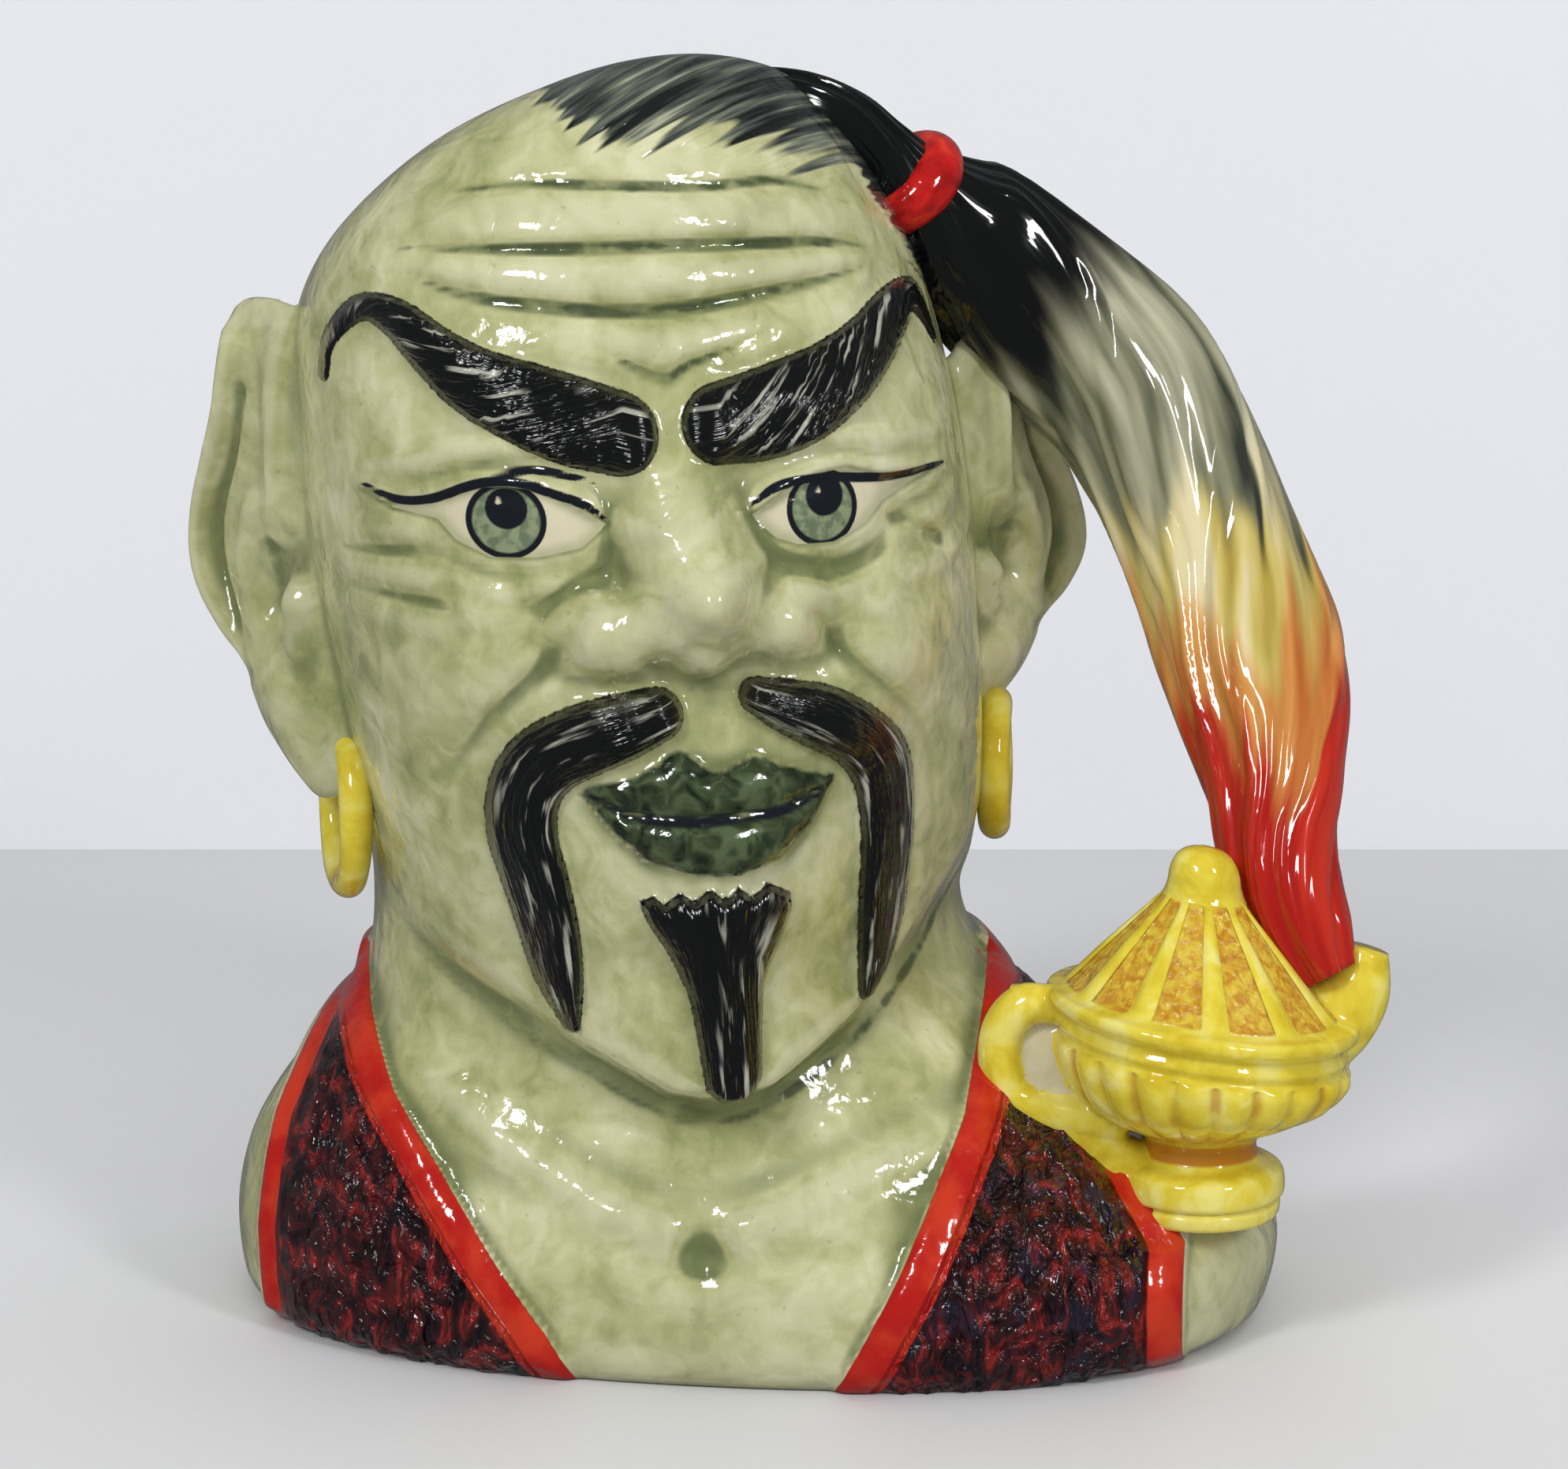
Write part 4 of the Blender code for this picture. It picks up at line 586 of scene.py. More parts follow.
def waistcoat_gaps(points):
    """How far inside the waistcoat's front and neck edges, and inside its arm holes, each point is."""
    x, y, z = points[..., 0], points[..., 1], points[..., 2]
    left, right = np.array(LEFT_EDGE)[::-1], np.array(RIGHT_EDGE)[::-1]
    open_from = np.interp(z, left[:, 1], left[:, 0])
    open_to = np.interp(z, right[:, 1], right[:, 0])
    front_gap = np.where(y < 0.0, np.maximum(open_from - x, x - open_to), 60.0)
    neck_gap = NECK_HEIGHT - z
    length = (x - SHOULDER_X) * math.cos(SHOULDER_TURN) + (y - SHOULDER_Y) * math.sin(SHOULDER_TURN)
    left_hole, right_hole = np.array(LEFT_ARM_HOLE), np.array(RIGHT_ARM_HOLE)
    left_gap = length - np.interp(z, left_hole[:, 0], left_hole[:, 1])
    right_gap = np.interp(z, right_hole[:, 0], right_hole[:, 1]) - length
    return np.minimum(front_gap, neck_gap), left_gap, right_gap


def waistcoat_relief(points):
    """How far the waistcoat and its edging stand out of the shoulders."""
    edging_gap, left_gap, right_gap = waistcoat_gaps(points)
    arm_gap = np.minimum(left_gap, right_gap)
    inside = smooth_step(np.minimum(edging_gap, arm_gap) / 1.2 + 0.5)
    collar = rounded_strip(edging_gap, EDGING_WIDTH) * (arm_gap > 0)
    cuffs = np.maximum(rounded_strip(left_gap, LEFT_CUFF_WIDTH), rounded_strip(right_gap, RIGHT_CUFF_WIDTH))
    edging = np.maximum(collar, cuffs * (edging_gap > 0))
    return WAISTCOAT_RELIEF * inside + (EDGING_RELIEF - WAISTCOAT_RELIEF) * edging


def carved_body(angles, rows):
    """The body's outer surface with the face, chest and waistcoat carved on it."""
    rings = sections(angles, rows, HEAD_CLOSER)
    normals = outward(rings)
    _, forward = face_frame(rings)
    x, z = rings[..., 0], rings[..., 2]
    chest = mounds(x, z, CHEST) * smooth_step((forward - 20.0) / 10.0)
    lift = chest + waistcoat_relief(rings)
    push = face_relief(rings)
    normals[..., 2] *= smooth_step((z - 1.0) / 6.0)
    direction = np.array([*FACE_FORWARD, 0.0])
    return rings + normals * lift[..., None] + push[..., None] * direction


def rim_frame():
    """The rim's centre, half width, half depth, turn and tilt."""
    z, x, y, wide, deep, _, turn, tilt = STATIONS[-1]
    return np.array([x, y, z]), wide, deep, math.radians(turn), tilt


def rim_ring(angle, inset, lift):
    """A ring on the rim's tilted plane, drawn in by inset and raised by lift."""
    centre, wide, deep, turn, tilt = rim_frame()
    x, y = (wide - inset) * np.cos(angle), (deep - inset) * np.sin(angle)
    turned_y = x * math.sin(turn) + y * math.cos(turn)
    ring = np.stack([x * math.cos(turn) - y * math.sin(turn), turned_y, -tilt * turned_y], axis=-1)
    up = np.array([0.0, tilt, 1.0]) / math.hypot(tilt, 1.0)
    return centre + ring + up * lift


def placed(item):
    """The same object, linked to the scene."""
    bpy.context.scene.collection.objects.link(item)
    return item


def new_piece(name, points, faces):
    """An object made of points in mm and of faces."""
    mesh = bpy.data.meshes.new(name)
    mesh.from_pydata((np.asarray(points, float) * MM).tolist(), [], faces)
    mesh.update()
    return placed(bpy.data.objects.new(name, mesh))


def skin_mesh(name, rings):
    """A closed mesh through rings of points, each end closed to its middle, its faces turned outwards."""
    rings = np.asarray(rings, float)
    count, sides = rings.shape[:2]
    near = np.arange(sides)
    far = np.roll(near, -1)
    quads = np.concatenate([
        np.stack([low + near, low + far, low + sides + far, low + sides + near], axis=1)
        for low in range(0, (count - 1) * sides, sides)])
    first, last = count * sides, count * sides + 1
    top = (count - 1) * sides
    caps = np.concatenate([
        np.stack([far, near, np.full(sides, first)], axis=1),
        np.stack([top + near, top + far, np.full(sides, last)], axis=1)])
    points = np.concatenate([rings.reshape(-1, 3), rings[[0, -1]].mean(axis=1)])
    triangles = np.concatenate([quads[:, :3], quads[:, [0, 2, 3]], caps])
    corner = points[triangles]
    if np.einsum("ij,ij->", corner[:, 0], np.cross(corner[:, 1], corner[:, 2])) < 0:
        quads, caps = quads[:, ::-1], caps[:, ::-1]
    return new_piece(name, points, quads.tolist() + caps.tolist())


def joined(piece, others, operation):
    """Joins or cuts with the other solids, which are used up."""
    for other in others:
        change = piece.modifiers.new(other.name, "BOOLEAN")
        change.operation = operation
        change.object = other
        change.solver = "MANIFOLD"
        change.material_mode = "TRANSFER"
    bpy.context.view_layer.update()
    graph = bpy.context.evaluated_depsgraph_get()
    mesh = bpy.data.meshes.new_from_object(piece.evaluated_get(graph), depsgraph=graph)
    piece.modifiers.clear()
    piece.data = mesh
    for other in others:
        bpy.data.objects.remove(other)
    return piece


def read(items, name, width=1, kind=float):
    """One value, or a row of values, of each of a mesh's items."""
    values = np.empty(len(items) * width, kind)
    items.foreach_get(name, values)
    return values.reshape(-1, width) if width > 1 else values


def positions(mesh):
    return read(mesh.vertices, "co", 3) / MM


def edges_of(mesh):
    return read(mesh.edges, "vertices", 2, np.int64)


def face_materials(mesh):
    return read(mesh.polygons, "material_index", kind=np.int64)


def corners_of(mesh):
    """The vertex at each corner of each face, and that face's material."""
    sizes = read(mesh.polygons, "loop_total", kind=np.int64)
    return read(mesh.loops, "vertex_index", kind=np.int64), np.repeat(face_materials(mesh), sizes)


def put_positions(mesh, points):
    mesh.vertices.foreach_set("co", (points * MM).ravel())
    mesh.update()


def relaxed(points, edges, weight, rounds):
    """The points, each moved towards the middle of its neighbours by its weight, a number of times."""
    count = len(points)
    start, end = edges[:, 0], edges[:, 1]
    degree = np.maximum(np.bincount(edges.ravel(), minlength=count), 1)[:, None]
    for _ in range(rounds):
        total = np.stack([
            np.bincount(start, points[end, axis], count) + np.bincount(end, points[start, axis], count)
            for axis in range(points.shape[1])], axis=1)
        points = points + (total / degree - points) * weight[:, None]
    return points


def seam_weight(mesh, edges, reach):
    """From 1 on the vertices where faces of two materials meet to 0 a number of edges away."""
    count = len(mesh.vertices)
    vertex, material = corners_of(mesh)
    least, most = np.full(count, len(mesh.materials)), np.full(count, -1)
    np.minimum.at(least, vertex, material)
    np.maximum.at(most, vertex, material)
    weight = (least != most).astype(float)
    for step in range(1, reach):
        spread_to = weight.copy()
        share = 1 - step / reach
        np.maximum.at(spread_to, edges[:, 0], np.where(weight[edges[:, 1]] > 0, share, 0))
        np.maximum.at(spread_to, edges[:, 1], np.where(weight[edges[:, 0]] > 0, share, 0))
        weight = spread_to
    return weight


def soften_seams(mesh, reach, rounds, where=1.0):
    """Smooths the surface where pieces of two materials meet."""
    edges = edges_of(mesh)
    weight = seam_weight(mesh, edges, reach) * where * 0.9
    put_positions(mesh, relaxed(positions(mesh), edges, weight, rounds))


def hollowness(mesh, rounds):
    """How far smoothing lifts each point of the surface, in mm: above 0 in a hollow, below 0 on a ridge."""
    points, edges = positions(mesh), edges_of(mesh)
    smooth = relaxed(points, edges, np.full(len(points), 0.7), rounds)
    return np.einsum("ij,ij->i", smooth - points, read(mesh.vertices, "normal", 3))


def store(mesh, name, values):
    layer = mesh.attributes.new(name, "FLOAT", "POINT")
    layer.data.foreach_set("value", np.asarray(values, np.float32))


def smooth_shaded(mesh):
    mesh.polygons.foreach_set("use_smooth", np.ones(len(mesh.polygons), bool))
    mesh.update()


def line_frame(u, z, line):
    """For each point: how far inside a lock of hair it is, and its place across and along the lock."""
    line = np.asarray(line, float)
    inside = np.full(u.shape, -1e3)
    across, along, half_width = np.zeros(u.shape), np.zeros(u.shape), np.ones(u.shape)
    travelled = 0.0
    for start, end in zip(line[:-1], line[1:]):
        run = end[:2] - start[:2]
        length = math.hypot(*run)
        part = np.clip(((u - start[0]) * run[0] + (z - start[1]) * run[1]) / length**2, 0.0, 1.0)
        off_u, off_z = u - start[0] - part * run[0], z - start[1] - part * run[1]
        half = start[2] + part * (end[2] - start[2])
        here = half - np.hypot(off_u, off_z)
        closer = here > inside
        inside = np.where(closer, here, inside)
        across = np.where(closer, (off_z * run[0] - off_u * run[1]) / length, across)
        along = np.where(closer, travelled + part * length, along)
        half_width = np.where(closer, half, half_width)
        travelled += length
    return inside, across, along, half_width


def hair_forms(u, z):
    """How far inside each painted form of hair each point is, with its place across and along the strands."""
    for line, lean in ((LEFT_BROW, -BROW_LEAN), (RIGHT_BROW, -BROW_LEAN), (LEFT_MOUSTACHE, 0.0),
                       (RIGHT_MOUSTACHE, 0.0)):
        depth, side, length, half = line_frame(u, z, smooth_line(line))
        across = side * math.cos(lean) + length * math.sin(lean) if lean else side / half * MOUSTACHE_STRANDS
        yield depth, across, length * math.cos(lean) - side * math.sin(lean)
    spine = np.array(GOATEE_SPINE)[::-1]
    middle, half = np.interp(z, spine[:, 0], spine[:, 1]), np.interp(z, spine[:, 0], spine[:, 2])
    yield edge_distance(u, z, GOATEE), (u - middle) / half * GOATEE_STRANDS, z


def crown_depth(points):
    """How far above the lower edge of the hair on the crown each point is."""
    height = points[..., 2] + CROWN_SLOPE * np.maximum(points[..., 1] - CROWN_SLOPE_FROM, 0.0)
    edge = np.array(CROWN_EDGE)
    return height - np.interp(points[..., 0], edge[:, 0], edge[:, 1])


def hair_masks(points, skin_only):
    """How far inside the painted hair each point is, and its place across and along the strands."""
    u, forward = face_frame(points)
    inside = np.full(u.shape, OUTSIDE)
    across, along = np.zeros(u.shape), np.zeros(u.shape)
    for depth, side, length in hair_forms(u, points[..., 2]):
        closer = depth > inside
        inside = np.where(closer, depth, inside)
        across, along = np.where(closer, side, across), np.where(closer, length, along)
    inside = np.where((forward > PAINT_FROM) & skin_only, inside, OUTSIDE)
    crown = np.where(skin_only, crown_depth(points), OUTSIDE)
    aside = points[..., 0] - STRAND_POLE[0]
    rise = points[..., 2] + CAMERA_RISE * (points[..., 1] + 20.0) - STRAND_POLE[1]
    round_pole = np.arctan2(rise, aside) * STRAND_POLE_REACH
    on_crown = (crown > -12.0) & (inside < -1.5)
    return (inside, crown, np.where(on_crown, np.hypot(aside, rise), across),
            np.where(on_crown, round_pole, along))


def line_depth(u, z, lines):
    """How far inside the nearest of several painted lines each point is."""
    depths = [line_frame(u, z, smooth_line(line))[0] for line in lines]
    return np.max([np.full(u.shape, OUTSIDE), *depths], axis=0)


def disc_depth(u, z, discs):
    return np.max([radius - np.hypot(u - u0, z - z0) for u0, z0, radius in discs], axis=0)


def soft_line(distance, width, strength):
    return strength * np.exp(-((distance / width) ** 2))


def crease_paint(u, z):
    """How dark the face is painted: thin lines in the forehead's creases, and painted shade in its other
    creases, under the nose, in the eyes' corners, under the lower lip, on the left temple and under the jaw.
    """
    lines_and_shades = [np.zeros(u.shape)]
    # Thin dark lines in the forehead's creases; painted shade in the soft ones.
    for index, line in enumerate(CREASES):
        distance, values = along_line(u, z, smooth_line(line))
        width, strength = THIN_CREASE_LINE if index < THIN_CREASES else SOFT_CREASE_SHADE
        lines_and_shades.append(soft_line(distance, width * values[..., 0], strength * values[..., 1]))
    for line in SHADES:
        distance, values = along_line(u, z, line)
        lines_and_shades.append(soft_line(distance, values[..., 0], SHADE_STRENGTH * values[..., 1]))
    # Painted shade under the jaw's edge.
    jaw = [(u0, z0 - JAW_LINE_DROP, np.interp(u0, *np.transpose(JAW_SHADE))) for u0, z0 in JAW_EDGE]
    distance, values = along_line(u, z, smooth_line(jaw))
    return np.max([*lines_and_shades, soft_line(distance, JAW_LINE_WIDTH, values[..., 0])], axis=0)


def waistcoat_masks(points):
    """How far inside the waistcoat, and inside its edging, each point is."""
    edging_gap, left_gap, right_gap = waistcoat_gaps(points)
    arm_gap = np.minimum(left_gap, right_gap)
    strips = [np.where(arm_gap > 0, strip_depth(edging_gap, EDGING_WIDTH), OUTSIDE)]
    for cuff_gap, width in ((left_gap, LEFT_CUFF_WIDTH), (right_gap, RIGHT_CUFF_WIDTH)):
        strips.append(np.where(edging_gap > 0, strip_depth(cuff_gap, width), OUTSIDE))
    return np.minimum(edging_gap, arm_gap), np.max(strips, axis=0)


def paint_masks(mesh, skin_only):
    """Writes on the mesh each mask that the painted glaze reads."""
    points = positions(mesh)
    u, forward = face_frame(points)
    z = points[:, 2]
    front = (forward > PAINT_FROM) & skin_only
    for name, values in zip(("hair", "crown", "across", "along"), hair_masks(points, skin_only)):
        store(mesh, name, values)
    face = {
        "eye": inside_any(u, z, [LEFT_EYE, RIGHT_EYE]),
        "iris": disc_depth(u, z, IRISES),
        "pupil": disc_depth(u, z, PUPILS),
        "glint": disc_depth(u, z, GLINTS),
        "lash": line_depth(u, z, LASH_LINES),
        "lips": inside_any(u, z, [UPPER_LIP, LOWER_LIP]),
        "mouth": line_depth(u, z, [MOUTH_LINE]),
    }
    for name, values in face.items():
        store(mesh, name, np.where(front, values, OUTSIDE))
    # Thin crease lines and painted shade.
    store(mesh, "crease", np.where(front, crease_paint(u, z), 0.0))
    for name, values in zip(("waistcoat", "edging"), waistcoat_masks(points)):
        store(mesh, name, np.where(skin_only, values, OUTSIDE))
    store(mesh, "hollow", hollowness(mesh, 26))
    store(mesh, "fold", hollowness(mesh, 5))


def unpainted_faces(mesh):
    """Which faces have nothing painted on them, so that plain glaze looks the same there and is quicker."""
    painted = np.zeros(len(mesh.vertices), bool)
    for name, least in PAINT_REACH.items():
        painted |= read(mesh.attributes[name].data, "value") > least
    vertex, _ = corners_of(mesh)
    face = np.repeat(np.arange(len(mesh.polygons)), read(mesh.polygons, "loop_total", kind=np.int64))
    return np.bincount(face, painted[vertex], len(mesh.polygons)) == 0


def wool(points, normals, gap):
    """The waistcoat's carved tufts, as points pushed along their normals."""
    depth = np.zeros(len(points))
    across, behind, up = WOOL_SCALE
    for index in np.flatnonzero(gap > 0.0):
        x, y, z = points[index]
        sway = 1.6 * noise.noise(Vector((x, y, z)) * 0.09)
        tuft = noise.noise(Vector((x * across + sway, y * behind, z * up - sway)))
        depth[index] = WOOL_HEIGHT * (0.40 - abs(tuft)) * min(gap[index] / WOOL_HEIGHT, 1.0)
    return points + normals * depth[:, None]


def cavity():
    """The hollow, a wall inside the plain body, from a rounded floor to a mouth that flares at the lip."""
    angles = columns_round(CAVITY_COLUMNS, 1.0)
    plain = sections(angles, 4 * CAVITY_ROWS)
    inner = plain - outward(plain) * WALL
    middle = inner.mean(axis=1, keepdims=True)
    kept = [ring for ring in inner if ring[:, 2].min() > FLOOR + FLOOR_CORNER][:-3:3]
    lowest = kept[0]
    rings = []
    for step in np.radians([90.0, 60.0, 30.0, 0.0]):
        ring = lowest.copy()
        centre = middle[0, 0, :2]
        reach = np.linalg.norm(ring[:, :2] - centre, axis=1, keepdims=True)
        ring[:, :2] = centre + (ring[:, :2] - centre) * (1 - FLOOR_CORNER * (1 - math.cos(step)) / reach)
        ring[:, 2] = FLOOR + FLOOR_CORNER * (1 - math.sin(step))
        rings.append(ring)
    rings += kept
    for step in np.radians([0.0, 30.0, 60.0, 85.0]):
        rise = LIP_RADIUS * (math.sin(step) - 1 + LIP_RISE)
        rings.append(rim_ring(angles, WALL - LIP_RADIUS * (1 - math.cos(step)), rise))
    rings.append(rim_ring(angles, WALL - LIP_RADIUS, LIP_RADIUS + CUT_CLEARANCE))
    return skin_mesh("cavity", rings)


def foot_recess():
    """The shallow recess in the underside, inside the foot's rim."""
    first = sections(columns_round(CAVITY_COLUMNS, 1.0), 40)[0]
    centre = first.mean(axis=0)
    reach = np.linalg.norm(first[:, :2] - centre[:2], axis=1, keepdims=True)
    ring = first.copy()
    ring[:, :2] = centre[:2] + (first[:, :2] - centre[:2]) * (1 - FOOT_RIM / reach)
    low, high = ring.copy(), ring.copy()
    low[:, 2] = -CUT_CLEARANCE
    high[:, 2] = FOOT_RECESS
    return skin_mesh("foot_recess", [low, high])


def ear(name, side):
    """An ear lofted through its thickness: a plain back, a rounded edge and the folded front."""
    outline = np.array(EAR_OUTLINE + EAR_OUTLINE[:1])
    edge = through(outline, np.linspace(0, len(outline) - 1, EAR_POINTS, endpoint=False)) - EAR_MIDDLE
    back, front = np.linspace(0.1, 0.9, EAR_BACK_RINGS), np.linspace(0.92, 0.08, EAR_FRONT_RINGS)
    shares = [*back, 0.96, 0.99, 1.0, 0.99, 0.96, *front]
    rings = []
    for step, share in enumerate(shares):
        reach, height = (edge * share + EAR_MIDDLE).T
        offset = EAR_THICKNESS / 2 * math.sqrt(1 - share**6)
        if step <= EAR_BACK_RINGS + 2:
            offset = -offset
        else:
            folds = mounds(reach, height, EAR_FOLDS)
            offset = offset + folds * smooth_step((1 - share) / 0.08)
        flare = EAR_FLARE
        if side > 0:
            flare = RIGHT_EAR_FLARE
            reach = reach * np.interp(height, *np.transpose(RIGHT_EAR_REACH))
            height = np.interp(height, [EAR_LOW, EAR_HIGH], [RIGHT_EAR_LOW, RIGHT_EAR_HIGH])
        u = EAR_ROOT_U + reach * math.cos(flare) + offset * math.sin(flare)
        f = EAR_ROOT_F - reach * math.sin(flare) + offset * math.cos(flare)
        flat = np.outer(side * u, FACE_RIGHT) + np.outer(f, FACE_FORWARD) + np.array([HEAD_X, HEAD_Y])
        rings.append(np.column_stack([flat, height]))
    return skin_mesh(name, rings)


def outer_rings():
    """The carved body's rings with the waistcoat's tufts on them, and two more that roll over the lip."""
    angles = columns_round(BODY_COLUMNS, FACE_CLOSER)
    rings = carved_body(angles, BODY_ROWS)
    edging_gap, left_gap, right_gap = waistcoat_gaps(rings)
    arm_gap = np.minimum(left_gap - LEFT_CUFF_WIDTH, right_gap - RIGHT_CUFF_WIDTH)
    gap = np.minimum(edging_gap - EDGING_WIDTH, arm_gap).ravel()
    rings = wool(rings.reshape(-1, 3), outward(rings).reshape(-1, 3), gap).reshape(rings.shape)
    return [*rings, rim_ring(angles, 0.6 * LIP_RADIUS, 0.22 * LIP_RADIUS),
            rim_ring(angles, 1.2 * LIP_RADIUS, LIP_RISE * LIP_RADIUS)]


def body():
    """The head, chest and shoulders, with the ears joined on and the hollow and foot cut out."""
    piece = skin_mesh("jug_body", outer_rings())
    ears = [ear("left_ear", -1), ear("right_ear", 1)]
    cuts = [cavity(), foot_recess()]
    painted, plain = painted_glaze(), plain_glaze()
    for item, material in zip([piece, *ears, *cuts], [painted, plain, plain, inside_glaze(), bare_foot()]):
        item.data.materials.append(material)
    joined(piece, ears, "UNION")
    joined(piece, cuts, "DIFFERENCE")
    mesh = piece.data
    names = [material.name for material in mesh.materials]
    painted_index, plain_index = names.index("painted_glaze"), names.index("plain_glaze")
    vertex, material = corners_of(mesh)
    on_ear = np.bincount(vertex, material == plain_index, len(mesh.vertices)) > 0
    soften_seams(mesh, 4, 6, positions(mesh)[:, 2] > SEAMS_FROM)
    paint_masks(mesh, ~on_ear)
    index = face_materials(mesh)
    index[(index == painted_index) & unpainted_faces(mesh)] = plain_index
    mesh.polygons.foreach_set("material_index", index)
    smooth_shaded(mesh)
    return piece


def tube_rings(middle, angle, swell=1.0):
    """Rings round a line of (x, y, z, radius), with the radius times the swell."""
    forward = np.gradient(middle[:, :3], axis=0)
    forward /= np.linalg.norm(forward, axis=1, keepdims=True)
    side = np.cross(forward, [0.0, 1.0, 0.0])
    side /= np.linalg.norm(side, axis=1, keepdims=True)
    back = np.cross(forward, side)
    radius = middle[:, 3:4] * swell
    return (middle[:, None, :3] + (radius * np.cos(angle))[..., None] * side[:, None]
            + (radius * np.sin(angle))[..., None] * back[:, None])


def tail():
    """The tied hair: a tapering bundle of locks that twist a little from the band to the lamp."""
    middle = through(TAIL, spread(TAIL, TAIL_STEPS))
    length = running_total(np.linalg.norm(np.diff(middle[:, :3], axis=0), axis=1))[:, None]
    share = length / length[-1]
    angle = circle(TAIL_COLUMNS)
    turn = angle - TAIL_TWIST_TURNS * 2 * math.pi * np.linspace(0, 1, TAIL_STEPS)[:, None]
    sway = 0.22 * np.sin(turn * 2 + share * 9.0) + 0.12 * np.sin(turn * 3 - share * 17.0)
    lock = np.abs(np.cos((turn + sway) * TAIL_LOCKS / 2))
    strand = np.abs(np.cos((turn + 1.4 * sway) * TAIL_STRANDS / 2 + 1.1))
    swell = 1 - TAIL_LOCK_DEPTH + TAIL_LOCK_DEPTH * lock + TAIL_STRAND_DEPTH * (strand - 0.6)
    piece = skin_mesh("hair_handle", tube_rings(middle, angle, swell))
    piece.data.materials.append(hair_glaze())
    masks = {"share": share, "turn_cos": np.cos(turn), "turn_sin": np.sin(turn), "side_cos": np.cos(angle),
             "side_sin": np.sin(angle), "length": length}
    for name, values in masks.items():
        values = np.broadcast_to(values, turn.shape)
        ends = values[0].mean(), values[-1].mean()
        store(piece.data, name, np.concatenate([values.ravel(), ends]))
    return piece


def band():
    """The round red band, pressed a little out of true, that holds the hair where it leaves the head."""
    line = np.array(TAIL)
    axis = Vector(line[BAND_AT + 1, :3] - line[BAND_AT - 1, :3]).normalized()
    turned = np.array(axis.to_track_quat("Z", "Y").to_matrix())
    around, across = circle(72), circle(32)
    swell = 1 + 0.05 * np.cos(2 * around[:, None] + 0.6)
    reach = BAND_RADIUS + BAND_THICKNESS * swell * np.cos(across)
    points = np.stack([reach * np.cos(around)[:, None], reach * np.sin(around)[:, None],
                       BAND_STRETCH * BAND_THICKNESS * swell * np.sin(across)], axis=-1)
    return ring_mesh("hair_band", points @ turned.T + line[BAND_AT, :3], red_glaze())


def ring_mesh(name, points, material):
    """A closed ring from a grid of points: around it, then across it."""
    around, across = points.shape[:2]
    i, j = np.meshgrid(np.arange(around), np.arange(across), indexing="ij")
    next_i, next_j = (i + 1) % around, (j + 1) % across
    near, far = i * across, next_i * across
    quads = np.stack([near + j, far + j, far + next_j, near + next_j], axis=-1)
    piece = new_piece(name, points.reshape(-1, 3), quads.reshape(-1, 4).tolist())
    piece.data.materials.append(material)
    smooth_shaded(piece.data)
    return piece


def earring(name, centre, radius, turn):
    """A hoop of round wire, a little uneven where it was modelled by hand."""
    around, across = circle(96), circle(28)
    wire = EARRING_WIRE * (1 + 0.06 * np.sin(3 * around + radius))
    reach = radius + wire[:, None] * np.cos(across)
    height = wire[:, None] * np.sin(across)
    points = np.stack([reach * np.cos(around)[:, None], reach * np.sin(around)[:, None], height], axis=-1)
    turned = Matrix.Rotation(math.pi / 2 + math.radians(turn), 3, "Z") @ Matrix.Rotation(math.pi / 2, 3, "X")
    return ring_mesh(name, points @ np.array(turned).T + np.array(centre), yellow_glaze())


def lamp_body():
    """The lamp's foot, fluted bowl and ribbed lid, as one turned shape that leans a little."""
    profile = np.array(LAMP_FOOT + LAMP_BOWL + LAMP_LID)
    angle = circle(LAMP_COLUMNS)
    places = np.linspace(0, len(profile) - 1, LAMP_ROWS)
    fine = through(profile, places)
    bowl_from, lid_from = len(LAMP_FOOT), len(LAMP_FOOT) + len(LAMP_BOWL)
    on_bowl = smooth_step((places - bowl_from + 1.0) / 0.8) * smooth_step((bowl_from + 3.6 - places) / 0.6)
    on_lid = smooth_step((places - lid_from + 0.2) / 0.3) * smooth_step((lid_from + 3.4 - places) / 0.6)
    flute = np.abs(np.cos(angle * LAMP_FLUTES / 2)) ** 0.8 - 1
    wave = np.cos((angle + math.pi / 2) * LAMP_RIBS) - math.cos(LAMP_RIB_SHARE * math.pi)
    rib = np.clip(wave * 2.6, -1.0, 1.0) / 2
    rings, masks = [], []
    for (radius, height), bowl, lid in zip(fine, on_bowl, on_lid):
        narrow = np.clip(radius / 12.0, 0.0, 1.0)
        reach = radius + LAMP_FLUTE_DEPTH * flute * bowl + LAMP_RIB_HEIGHT * rib * lid * narrow
        level = np.full(LAMP_COLUMNS, height)
        rings.append(np.stack([reach * np.cos(angle), reach * np.sin(angle), level], axis=-1))
        masks.append((-rib * lid, -flute * bowl, level))
    for ring in rings:
        lean = LAMP_LEAN * smooth_step((ring[0, 2] - LAMP_FOOT[-1][1]) / 12.0)
        ring[:, 2] = ring[:, 2] - ring[:, 0] * math.tan(lean)
        ring[:, :2] += (LAMP_X, LAMP_Y)
    piece = skin_mesh("lamp", rings)
    for name, values in zip(("panel", "flute", "lamp_height"), np.array(masks).transpose(1, 0, 2)):
        store(piece.data, name, np.concatenate([values.ravel(), values[0, :1], values[-1, :1]]))
    return piece


def lamp_web():
    """The thin wall that closes the lamp's ring handle."""
    x, y, z, wide, deep, tall = LAMP_HANDLE_WEB
    angle = circle(48)
    rings = [np.stack([x + wide * math.cos(rise) * np.cos(angle), y + deep * math.cos(rise) * np.sin(angle),
                       np.full(48, z + tall * math.sin(rise))], axis=-1)
             for rise in np.linspace(-0.49, 0.49, 28) * math.pi]
    return skin_mesh("lamp_web", rings)


def swept(name, line, steps, sides):
    """A round tube through a line of (x, y, z, radius)."""
    return skin_mesh(name, tube_rings(through(line, spread(line, steps)), circle(sides)))


